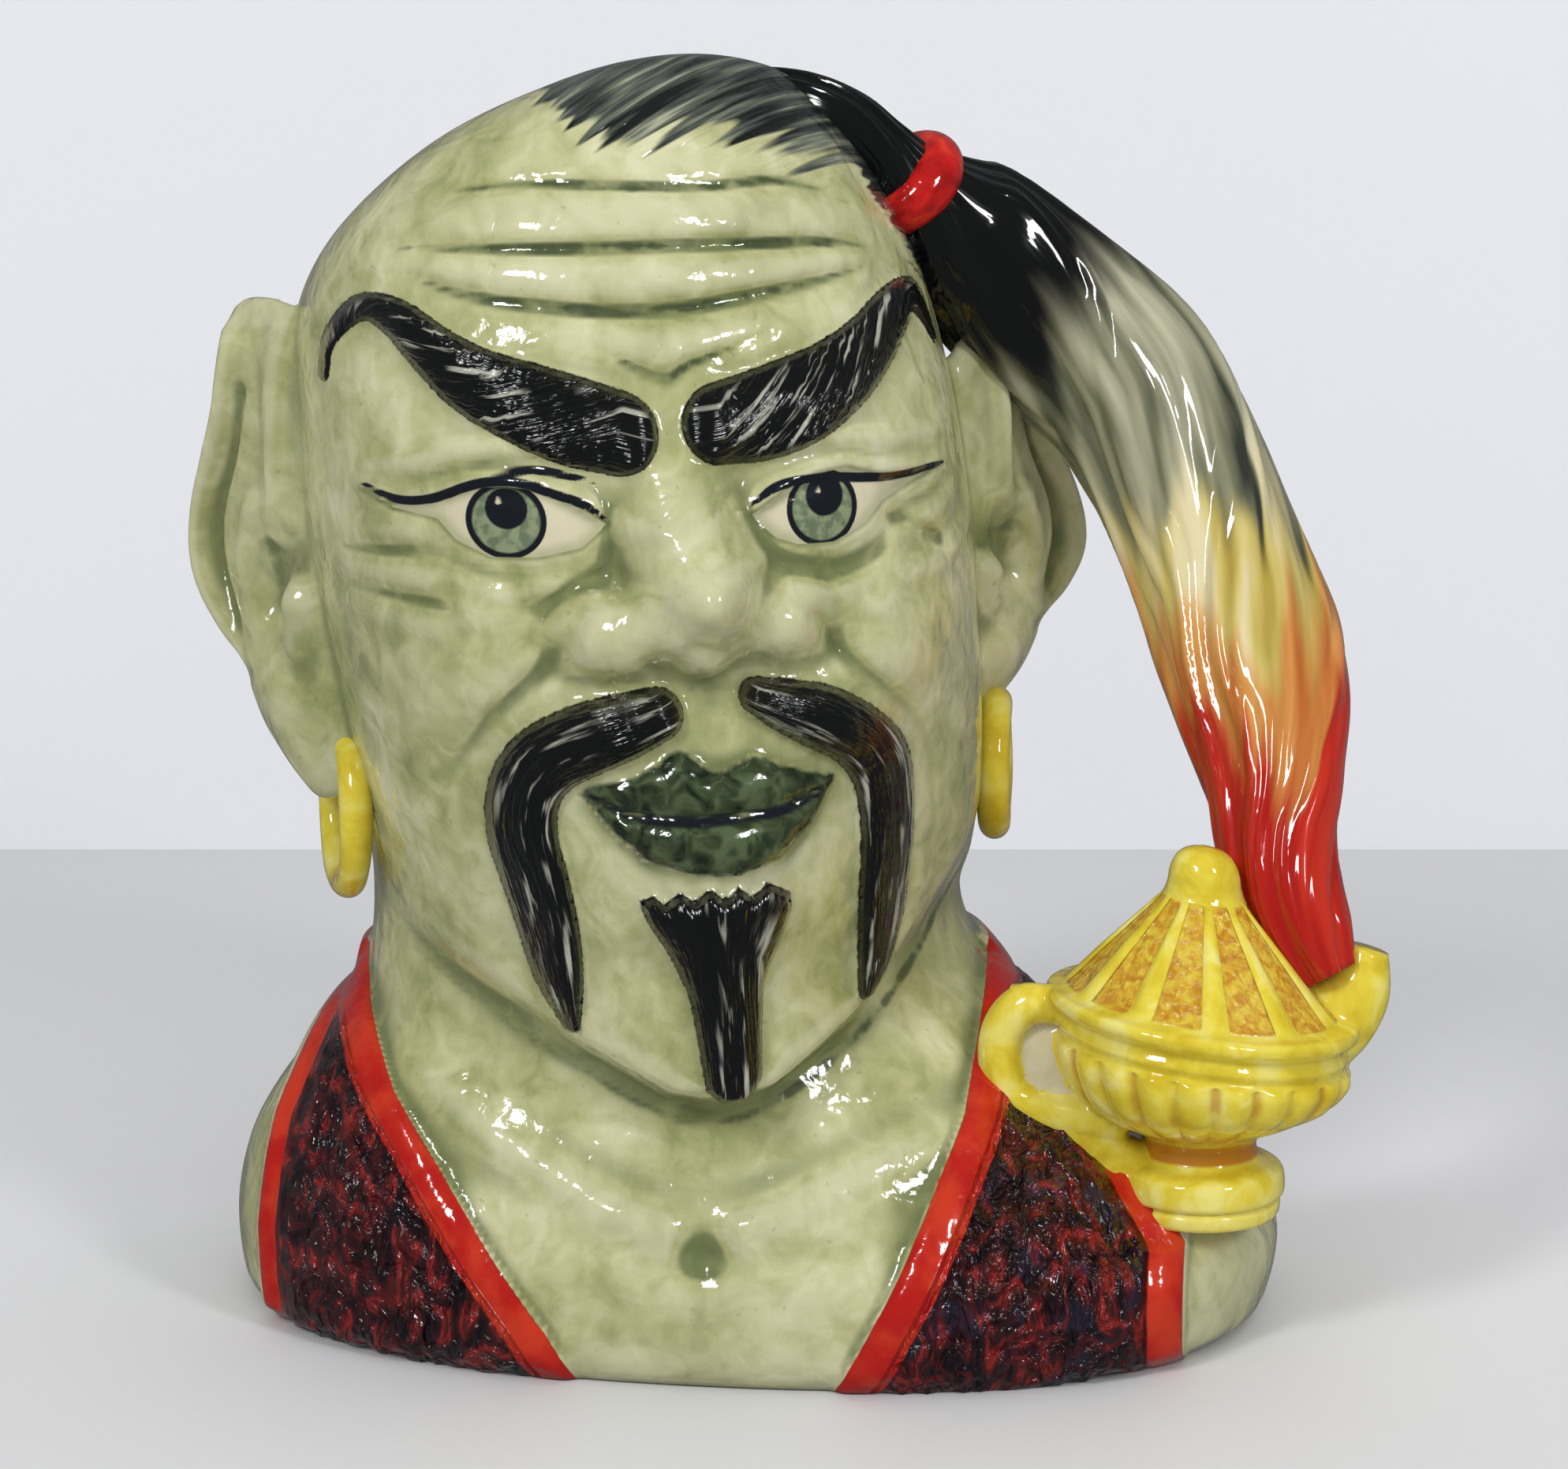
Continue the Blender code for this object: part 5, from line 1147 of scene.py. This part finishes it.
def lamp():
    """The whole lamp, its parts melted together by the glaze."""
    piece = lamp_body()
    tubes = [swept("lamp_handle", LAMP_HANDLE, 90, 36), swept("lamp_horn", LAMP_HORN, 16, 30),
             swept("lamp_spout", LAMP_SPOUT, 40, 44), swept("lamp_buttress", LAMP_BUTTRESS, 30, 36)]
    web = lamp_web()
    piece.data.materials.append(lamp_glaze())
    for tube in tubes:
        tube.data.materials.append(yellow_glaze())
    web.data.materials.append(cream_glaze())
    joined(piece, [*tubes, web], "UNION")
    soften_seams(piece.data, 5, 8)
    smooth_shaded(piece.data)
    return piece


class Paint:
    """One glazed material, and the nodes that are added to it."""

    def __init__(self, name, roughness, coat=0.9):
        self.material = bpy.data.materials.new(name)
        self.material.use_nodes = True
        self.tree = self.material.node_tree
        self.shader = self.tree.nodes["Principled BSDF"]
        self.shader.inputs["Roughness"].default_value = roughness
        self.shader.inputs["Specular IOR Level"].default_value = 0.12
        self.shader.inputs["Coat Weight"].default_value = coat
        self.shader.inputs["Coat Roughness"].default_value = 0.03
        self.shader.inputs["IOR"].default_value = 1.5
        place = self.tree.nodes.new("ShaderNodeTexCoord")
        scale = self.tree.nodes.new("ShaderNodeVectorMath")
        scale.operation = "SCALE"
        self.feed(scale.inputs[0], place.outputs["Object"])
        scale.inputs["Scale"].default_value = 1 / MM
        self.place = scale.outputs[0]

    def feed(self, socket, value):
        if isinstance(value, bpy.types.NodeSocket):
            self.tree.links.new(value, socket)
        elif isinstance(value, tuple) and len(value) == 3 and socket.type == "RGBA":
            socket.default_value = (*value, 1.0)
        else:
            socket.default_value = value

    def mask(self, name):
        node = self.tree.nodes.new("ShaderNodeAttribute")
        node.attribute_name = name
        return node.outputs["Fac"]

    def math(self, operation, first, second=0.0):
        node = self.tree.nodes.new("ShaderNodeMath")
        node.operation = operation
        self.feed(node.inputs[0], first)
        self.feed(node.inputs[1], second)
        return node.outputs[0]

    def add(self, first, second):
        return self.math("ADD", first, second)

    def times(self, first, second):
        return self.math("MULTIPLY", first, second)

    def blend(self, *parts):
        """The sum of values, each times its own amount."""
        total = self.times(*parts[0])
        for value, amount in parts[1:]:
            total = self.add(total, self.times(value, amount))
        return total

    def vector(self, x, y, z=0.0):
        node = self.tree.nodes.new("ShaderNodeCombineXYZ")
        for socket, value in zip(node.inputs, (x, y, z)):
            self.feed(socket, value)
        return node.outputs[0]

    def noise(self, scale, detail=3.0, place=None, warp=0.0):
        node = self.tree.nodes.new("ShaderNodeTexNoise")
        self.feed(node.inputs["Vector"], place or self.place)
        node.inputs["Scale"].default_value = scale
        node.inputs["Detail"].default_value = detail
        node.inputs["Distortion"].default_value = warp
        return node.outputs["Fac"]

    def stretched(self, x, y, z):
        """The object's place in mm, scaled along each axis."""
        node = self.tree.nodes.new("ShaderNodeVectorMath")
        node.operation = "MULTIPLY"
        self.feed(node.inputs[0], self.place)
        node.inputs[1].default_value = (x, y, z)
        return node.outputs[0]

    def across(self):
        """The object's x in mm."""
        node = self.tree.nodes.new("ShaderNodeSeparateXYZ")
        self.feed(node.inputs[0], self.place)
        return node.outputs["X"]

    def span(self, value, low, high, to_low=0.0, to_high=1.0):
        """A smooth step from one value to another."""
        node = self.tree.nodes.new("ShaderNodeMapRange")
        node.interpolation_type = "SMOOTHSTEP"
        self.feed(node.inputs["Value"], value)
        for name, number in (("From Min", low), ("From Max", high), ("To Min", to_low), ("To Max", to_high)):
            node.inputs[name].default_value = number
        return node.outputs["Result"]

    def mix(self, share, first, second):
        node = self.tree.nodes.new("ShaderNodeMix")
        node.data_type = "RGBA"
        self.feed(node.inputs["Factor"], share)
        self.feed(node.inputs["A"], first)
        self.feed(node.inputs["B"], second)
        return node.outputs["Result"]

    def ramp(self, value, stops):
        node = self.tree.nodes.new("ShaderNodeValToRGB")
        elements = node.color_ramp.elements
        while len(elements) < len(stops):
            elements.new(0.5)
        for element, (position, colour) in zip(elements, stops):
            element.position = position
            element.color = (*colour, 1.0)
        self.feed(node.inputs["Fac"], value)
        return node.outputs["Color"]

    def bump(self, height):
        """Relief from a height in mm, under the glaze and in it."""
        node = self.tree.nodes.new("ShaderNodeBump")
        node.inputs["Strength"].default_value = 1.0
        node.inputs["Distance"].default_value = MM
        self.feed(node.inputs["Height"], height)
        self.feed(self.shader.inputs["Normal"], node.outputs["Normal"])
        self.feed(self.shader.inputs["Coat Normal"], node.outputs["Normal"])

    def colour(self, value):
        self.feed(self.shader.inputs["Base Color"], value)


# Linear colours of the glazes, and their ramps over a noise.
OLIVE = (0.250, 0.275, 0.105)
MOSS = (0.100, 0.130, 0.045)
DEEP_GREEN = (0.022, 0.040, 0.018)
# Paler green for the ridges.
RIDGE_GREEN = (0.60, 0.58, 0.40)
HAIR_BLACK = (0.0025, 0.003, 0.003)
HAIR_PALE = (0.42, 0.42, 0.35)
EYE_WHITE = (0.62, 0.57, 0.40)
EYE_CORNER = (0.42, 0.41, 0.25)
IRIS_GREEN = (0.235, 0.280, 0.160)
IRIS_DARK = (0.130, 0.170, 0.100)
INK = (0.006, 0.008, 0.012)
RED = (0.42, 0.009, 0.006)
RED_ORANGE = (0.54, 0.035, 0.012)
MAROON = (0.035, 0.005, 0.007)
MAROON_DARK = (0.007, 0.002, 0.004)
WOOL_RED = (0.26, 0.016, 0.014)
WOOL_SHEEN_BLUE = (0.020, 0.022, 0.050)
FLUTE_OCHRE = (0.50, 0.26, 0.020)
WAIST_SHADE_OCHRE = (0.50, 0.165, 0.010)
SKIN = [(0.34, OLIVE), (0.45, (0.395, 0.398, 0.185)), (0.56, (0.525, 0.52, 0.29)), (0.66, (0.63, 0.62, 0.40))]
LIPS = [(0.34, (0.009, 0.016, 0.007)), (0.50, (0.034, 0.052, 0.022)), (0.64, (0.075, 0.105, 0.048))]
CROWN = [(0.42, (0.008, 0.010, 0.009)), (0.52, (0.055, 0.065, 0.055)), (0.60, (0.15, 0.165, 0.115)),
         (0.70, (0.36, 0.37, 0.26))]
WOOL = [(0.38, MAROON_DARK), (0.48, MAROON), (0.56, (0.075, 0.007, 0.008)), (0.64, WOOL_RED), (0.74, MAROON)]
TAIL_GREY = [(0.36, (0.030, 0.034, 0.024)), (0.46, (0.16, 0.165, 0.10)), (0.54, (0.31, 0.30, 0.20)),
             (0.66, (0.48, 0.46, 0.33))]
TAIL_YELLOW = [(0.34, (0.40, 0.30, 0.055)), (0.48, (0.58, 0.47, 0.14)), (0.62, (0.70, 0.62, 0.38))]
TAIL_ORANGE = (0.44, 0.12, 0.022), (0.64, 0.30, 0.075)
TAIL_RED = (0.36, 0.007, 0.005), (0.52, 0.028, 0.012)
BAND_RED = [(0.36, (0.30, 0.006, 0.005)), (0.52, (0.50, 0.010, 0.008)), (0.68, (0.60, 0.04, 0.014))]
YELLOW = [(0.34, (0.58, 0.42, 0.020)), (0.50, (0.70, 0.57, 0.050)), (0.66, (0.78, 0.70, 0.18))]
LAMP_YELLOW = [(0.34, (0.60, 0.45, 0.022)), (0.50, (0.72, 0.59, 0.055)), (0.66, (0.79, 0.71, 0.20))]
LAMP_OCHRE = [(0.36, (0.48, 0.19, 0.012)), (0.50, (0.60, 0.34, 0.025)), (0.66, (0.68, 0.50, 0.05))]
INSIDE_CREAM = [(0.35, (0.46, 0.45, 0.32)), (0.65, (0.58, 0.56, 0.44))]
WEB_CREAM = [(0.35, (0.60, 0.54, 0.33)), (0.65, (0.68, 0.63, 0.43))]
CLAY = [(0.35, (0.52, 0.47, 0.38)), (0.65, (0.66, 0.61, 0.52))]


def skin_noises(p):
    return p.noise(0.20, 2.5, warp=0.9), p.noise(1.5, 3.0), p.noise(0.13, 2.0, warp=0.4)


def skin_waves(p, mottle, grain, lumps):
    """The slight waves of the glaze, in mm."""
    return p.blend((mottle, 0.20), (lumps, 0.8), (grain, 0.02))


def skin_colour(p, mottle, grain):
    """Mottled green, with painted shade in hollows, folds and creases, and paler on ridges."""
    hollow = p.mask("hollow")
    clear_of_hair = p.span(p.mask("hair"), -0.5, -5.0, 0.15, 1.0)
    cloud = p.noise(0.055, 3.0, warp=0.5)
    skin = p.ramp(p.blend((cloud, 0.60), (mottle, 0.34), (grain, 0.06)), SKIN)
    # Painted shade: moss green in the broad hollows, patchy with the mottle.
    shade = p.times(p.span(hollow, 0.05, 0.50), p.span(mottle, 0.25, 0.60, 0.35, 0.75))
    skin = p.mix(p.times(shade, clear_of_hair), skin, MOSS)
    # Painted shade in the small folds.
    fold = p.times(p.span(p.mask("fold"), 0.05, 0.26), p.span(mottle, 0.3, 0.6, 0.12, 0.40))
    skin = p.mix(p.times(fold, clear_of_hair), skin, MOSS)
    # Paler green on the ridges.
    skin = p.mix(p.times(p.span(hollow, -0.05, -0.45), 0.40), skin, RIDGE_GREEN)
    # Thin dark lines in the forehead's creases, and painted shade in the other creases, round the nose, eyes
    # and lip and under the jaw.
    crease = p.times(p.mask("crease"), p.span(p.noise(0.16, 3.0), 0.36, 0.60, 0.25, 1.25))
    skin = p.mix(p.times(p.span(crease, 0.15, 0.85), 0.72), skin, DEEP_GREEN)
    return p.mix(p.times(p.span(p.noise(0.7, 2.0), 0.70, 0.76), 0.25), skin, MOSS)


def with_eyes(p, colour):
    """The eyes: cream whites, green irises with a dark edge, pupils, glints and dark lines of lashes."""
    eye, iris = p.mask("eye"), p.mask("iris")
    colour = p.mix(p.times(p.span(eye, -0.8, -0.1), 0.50), colour, MOSS)
    ring = p.mix(p.span(p.noise(0.7, 2.0), 0.42, 0.62), IRIS_GREEN, IRIS_DARK)
    ring = p.mix(p.span(iris, 1.0, 0.65), ring, INK)
    ring = p.mix(p.span(p.mask("pupil"), -0.15, 0.15), ring, INK)
    ring = p.mix(p.span(p.mask("glint"), -0.1, 0.15), ring, EYE_WHITE)
    white = p.mix(p.span(eye, 1.8, 0.2), EYE_WHITE, EYE_CORNER)
    white = p.mix(p.span(iris, -0.08, 0.08), white, ring)
    colour = p.mix(p.span(eye, -0.08, 0.08), colour, white)
    return p.mix(p.span(p.mask("lash"), -0.12, 0.10), colour, INK)


def with_lips(p, colour, mottle):
    """The lips, dark green with a darker line between them and a brushed edge."""
    lip = p.ramp(p.noise(0.30, 2.0, warp=1.0), LIPS)
    lip = p.mix(p.span(p.mask("mouth"), -0.5, 0.1), lip, INK)
    ragged = p.add(p.mask("lips"), p.times(p.add(mottle, -0.5), 1.2))
    return p.mix(p.span(ragged, -0.35, 0.35), colour, lip)


def with_hair(p, colour, grain, strand, fine):
    """The hair on the crown, greyed at its lower edge, and the streaked black brows, moustache and goatee."""
    hair = p.mask("hair")
    tufts = p.noise(0.55, 1.0, p.vector(p.mask("across"), p.times(p.mask("along"), 0.05)))
    crown_edge = p.add(p.mask("crown"), p.times(p.add(tufts, -0.5), 13.0))
    crown = p.ramp(p.blend((strand, 0.80), (fine, 0.20)), CROWN)
    colour = p.mix(p.span(crown_edge, -0.8, 1.0), colour, crown)
    streak = p.times(p.span(p.blend((strand, 0.75), (fine, 0.25)), 0.54, 0.64), p.span(hair, 0.4, 1.4))
    streak = p.times(streak, p.span(p.noise(0.09, 1.0), 0.38, 0.52))
    black = p.mix(p.times(streak, 0.9), HAIR_BLACK, HAIR_PALE)
    return p.mix(p.span(p.add(hair, p.times(p.add(grain, -0.5), 0.5)), -0.12, 0.12), colour, black)


def with_waistcoat(p, colour, mottle):
    """The waistcoat, dark maroon and redder to the jug's right, with a painted bluish sheen and painted shade
    between its tufts, and its red edging.
    """
    tuft = p.noise(0.17, 3.0, p.stretched(1.5, 1.0, 0.8), warp=1.5)
    right = p.span(p.across(), -30.0, 40.0)
    wool = p.ramp(tuft, WOOL)
    # Painted sheen: bluish reflections on the tufts, more of them to the right.
    wool = p.mix(p.times(p.span(p.noise(0.16, 3.0), 0.54, 0.64), p.times(right, 0.45)), wool, WOOL_SHEEN_BLUE)
    wool = p.mix(p.times(p.span(tuft, 0.50, 0.64), p.times(right, 0.30)), wool, WOOL_RED)
    # Painted shade in the hollows between the tufts.
    wool = p.mix(p.times(p.span(p.mask("hollow"), 0.0, 0.25), 0.75), wool, MAROON_DARK)
    colour = p.mix(p.span(p.mask("waistcoat"), -0.1, 0.1), colour, wool)
    red = p.mix(p.span(p.noise(0.14, 3.0), 0.40, 0.66), RED, RED_ORANGE)
    edging = p.add(p.mask("edging"), p.times(p.add(mottle, -0.5), 0.6))
    return p.mix(p.span(edging, -0.12, 0.15), colour, red)


def painted_relief(p, strand, fine):
    """The furrows of the hair and the waistcoat's tufts, in mm."""
    furrow = p.times(p.blend((strand, 0.55), (fine, 0.25)), p.span(p.mask("hair"), 0.0, 0.9))
    crown_furrow = p.times(p.blend((strand, 0.7), (fine, 0.2)), p.span(p.mask("crown"), -4.0, 2.0))
    wool = p.noise(0.18, 2.5, p.stretched(1.4, 1.0, 0.9), warp=2.0)
    wool = p.times(wool, p.span(p.mask("waistcoat"), 4.6, 5.6))
    return p.blend((furrow, 1.5), (crown_furrow, 1.0), (wool, 4.0))


def plain_glaze():
    """The skin where nothing is painted on it: the same mottled green and slight waves."""
    p = Paint("plain_glaze", 0.20)
    mottle, grain, lumps = skin_noises(p)
    p.colour(skin_colour(p, mottle, grain))
    p.bump(skin_waves(p, mottle, grain, lumps))
    return p.material


def painted_glaze():
    """The sage-green skin, with the hair, eyes, lips and waistcoat painted under one clear glaze."""
    p = Paint("painted_glaze", 0.20)
    mottle, grain, lumps = skin_noises(p)
    strands = p.vector(p.times(p.mask("across"), 0.75), p.times(p.mask("along"), 0.07))
    strand, fine = p.noise(1.0, 2.0, strands, warp=0.3), p.noise(3.4, 2.0, strands)
    colour = with_lips(p, with_eyes(p, skin_colour(p, mottle, grain)), mottle)
    colour = with_waistcoat(p, with_hair(p, colour, grain, strand, fine), mottle)
    p.colour(colour)
    p.bump(p.add(skin_waves(p, mottle, grain, lumps), painted_relief(p, strand, fine)))
    return p.material


def inside_glaze():
    """The hollow's plain cream glaze."""
    p = Paint("inside_glaze", 0.22)
    p.colour(p.ramp(p.noise(0.06, 4.0), INSIDE_CREAM))
    p.bump(p.times(p.noise(0.25, 2.0), 0.2))
    return p.material


def bare_foot():
    """Unglazed clay under the foot, where the jug stood in the kiln."""
    p = Paint("bare_foot", 0.75, coat=0.0)
    p.colour(p.ramp(p.noise(0.5, 5.0), CLAY))
    p.bump(p.times(p.noise(2.2, 4.0), 0.1))
    return p.material


def hair_glaze():
    """The tied hair: black at the band, then grey and cream, and a flame from yellow to red at its end."""
    p = Paint("hair_glaze", 0.16)
    share, side_cos = p.mask("share"), p.mask("side_cos")
    strands = p.vector(p.times(p.mask("turn_cos"), 1.9), p.times(p.mask("turn_sin"), 1.9),
                       p.times(p.mask("length"), 0.018))
    strand, fine = p.noise(1.0, 2.0, strands, warp=0.4), p.noise(3.0, 2.0, strands)
    offset = p.blend((p.add(strand, -0.5), 0.34), (p.add(fine, -0.5), 0.05), (p.noise(0.09, 2.0), 0.02))
    place, calm = p.add(share, offset), p.add(share, p.times(offset, 0.5))
    edge = p.blend((side_cos, 0.055), (p.mask("side_sin"), -0.02))
    flank = p.times(p.math("ABSOLUTE", side_cos), 0.07)
    tone = p.blend((strand, 0.5), (p.noise(1.9, 2.0, strands), 0.5))
    orange, red = p.mix(p.span(tone, 0.35, 0.6), *TAIL_ORANGE), p.mix(p.span(tone, 0.4, 0.62), *TAIL_RED)
    colour = p.mix(p.span(calm, 0.32, 0.41), HAIR_BLACK, p.ramp(tone, TAIL_GREY))
    colour = p.mix(p.span(p.add(place, p.times(edge, -0.3)), 0.55, 0.62), colour, p.ramp(tone, TAIL_YELLOW))
    colour = p.mix(p.span(p.add(place, p.times(flank, 1.8)), 0.73, 0.81), colour, orange)
    p.colour(p.mix(p.span(p.add(place, flank), 0.81, 0.87), colour, red))
    p.bump(p.blend((strand, 1.2), (fine, 0.15)))
    return p.material


def red_glaze():
    """The band's bright red, varying at random from darker to more orange."""
    p = Paint("red_glaze", 0.14)
    p.colour(p.ramp(p.noise(0.25, 3.0, warp=0.5), BAND_RED))
    p.bump(p.times(p.noise(0.3, 2.0), 0.25))
    return p.material


def yellow_glaze():
    """Plain yellow glaze, a little paler where it runs thin."""
    found = bpy.data.materials.get("yellow_glaze")
    if found:
        return found
    p = Paint("yellow_glaze", 0.16)
    p.colour(p.ramp(p.noise(0.16, 4.0, warp=0.5), YELLOW))
    p.bump(p.times(p.noise(0.3, 2.0), 0.2))
    return p.material


def lamp_glaze():
    """The lamp: yellow, with stippled ochre panels between the lid's ribs, ochre flutes, and painted shade in
    ochre on its narrow waist.
    """
    p = Paint("lamp_glaze", 0.16)
    panel, flute, height = p.span(p.mask("panel"), 0.05, 0.30), p.mask("flute"), p.mask("lamp_height")
    yellow = p.ramp(p.noise(0.16, 4.0, warp=0.5), LAMP_YELLOW)
    colour = p.mix(p.times(panel, 0.92), yellow, p.ramp(p.noise(0.55, 3.0, warp=0.8), LAMP_OCHRE))
    flutes = p.times(p.span(flute, 0.30, 0.80), p.span(p.noise(0.12, 2.0), 0.4, 0.6, 0.15, 0.75))
    colour = p.mix(flutes, colour, FLUTE_OCHRE)
    # Painted shade: the narrow waist under the bowl in ochre.
    waist = p.times(p.span(height, 28.0, 28.6), p.span(height, 31.4, 30.8))
    p.colour(p.mix(p.times(waist, 0.9), colour, WAIST_SHADE_OCHRE))
    p.bump(p.blend((p.noise(0.3, 2.0), 0.25), (p.times(p.noise(0.8, 3.0), panel), 0.7)))
    return p.material


def cream_glaze():
    """The wall inside the lamp's ring handle, left the cream of the clay under clear glaze."""
    p = Paint("cream_glaze", 0.18)
    p.colour(p.ramp(p.noise(0.3, 3.0), WEB_CREAM))
    p.bump(p.times(p.noise(0.4, 2.0), 0.15))
    return p.material


def matt(name, colour, roughness):
    """A plain painted board, with a faint unevenness of tone."""
    p = Paint(name, roughness, coat=0.0)
    darker = tuple(0.985 * part for part in colour)
    p.colour(p.mix(p.noise(0.01, 3.0), darker, colour))
    return p.material


# The photograph's view, in carving units, and the board behind the jug.
CAMERA_PLACE = (0.0, -600.0, 200.0)
CAMERA_DOWN = math.radians(11.11)
CAMERA_LENS = 97.41
WALL_Y = 292.0
BOARD_REACH = (1600.0, 1500.0, 1500.0)
JUG_MIDDLE = (0.0, 0.0, 0.09)


def plane(name, corners, material):
    board = new_piece(name, corners, [(0, 1, 2, 3)])
    board.data.materials.append(material)
    board.visible_glossy = False
    board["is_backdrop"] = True


def stage(shift):
    back = WALL_Y + shift[1]
    wide, deep, tall = BOARD_REACH
    plane("floor", [(-wide, -deep, 0), (wide, -deep, 0), (wide, back, 0), (-wide, back, 0)],
          matt("white_board", (0.70, 0.70, 0.71), 0.42))
    plane("backdrop", [(-wide, back, 0), (wide, back, 0), (wide, back, tall), (-wide, back, tall)],
          matt("white_wall", (0.80, 0.81, 0.845), 0.9))


def area_light(name, place, size, power, mirrored=True):
    """A light turned to the jug. One that isn't mirrored lights the glaze without showing in it."""
    light = bpy.data.lights.new(name, "AREA")
    light.shape = "RECTANGLE"
    light.size, light.size_y = size
    light.energy = power
    item = placed(bpy.data.objects.new(name, light))
    item.location = place
    item.rotation_euler = (Vector(JUG_MIDDLE) - Vector(place)).to_track_quat("-Z", "Y").to_euler()
    item.visible_glossy = mirrored


def lights():
    area_light("window_left", (-0.75, -1.15, 1.05), (0.28, 0.40), 10.2)
    area_light("window_right", (0.85, -1.05, 0.85), (0.23, 0.34), 7.0)
    area_light("soft_front", (-0.1, -1.7, 1.3), (2.0, 1.6), 13.2, mirrored=False)
    area_light("ceiling", (0.3, 0.0, 1.5), (1.6, 1.4), 8.8, mirrored=False)
    world = bpy.data.worlds.new("soft_room")
    world.use_nodes = True
    background = world.node_tree.nodes["Background"]
    background.inputs["Color"].default_value = (0.95, 0.97, 1.0, 1.0)
    background.inputs["Strength"].default_value = 0.13
    bpy.context.scene.world = world
    bpy.context.scene.view_settings.view_transform = "Standard"


def camera(shift):
    lens = bpy.data.cameras.new("view")
    lens.lens = CAMERA_LENS
    lens.sensor_width = 36.0
    eye = placed(bpy.data.objects.new("view", lens))
    eye.location = (Vector(CAMERA_PLACE) + Vector(shift)) * MM
    eye.rotation_euler = (math.pi / 2 - CAMERA_DOWN, 0.0, 0.0)
    bpy.context.scene.camera = eye


def centred(pieces):
    """Moves the pieces so that their box stands on the middle of the frame's floor. Gives the shift in mm."""
    corners = np.concatenate([positions(piece.data) for piece in pieces])
    low, high = corners.min(axis=0), corners.max(axis=0)
    shift = -np.array([(low[0] + high[0]) / 2, (low[1] + high[1]) / 2, low[2]])
    for piece in pieces:
        put_positions(piece.data, positions(piece.data) + shift)
    return shift


def finished_pieces():
    jug, handle, bright_lamp = body(), tail(), lamp()
    joined(handle, [cavity()], "DIFFERENCE")
    hoops = [earring(f"earring_{side}", *ring) for side, ring in zip(("left", "right"), EARRINGS)]
    return [jug, handle, band(), bright_lamp, *hoops]


pieces = finished_pieces()
shift = centred(pieces)
for piece in pieces:
    smooth_shaded(piece.data)
    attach(piece, "root")
    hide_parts(NODE)
stage(shift)
lights()
camera(shift)

boxes = {"cad": CAD_BOX, "visual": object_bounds()}
{name: [list(corner) for corner in box] for name, box in boxes.items()}
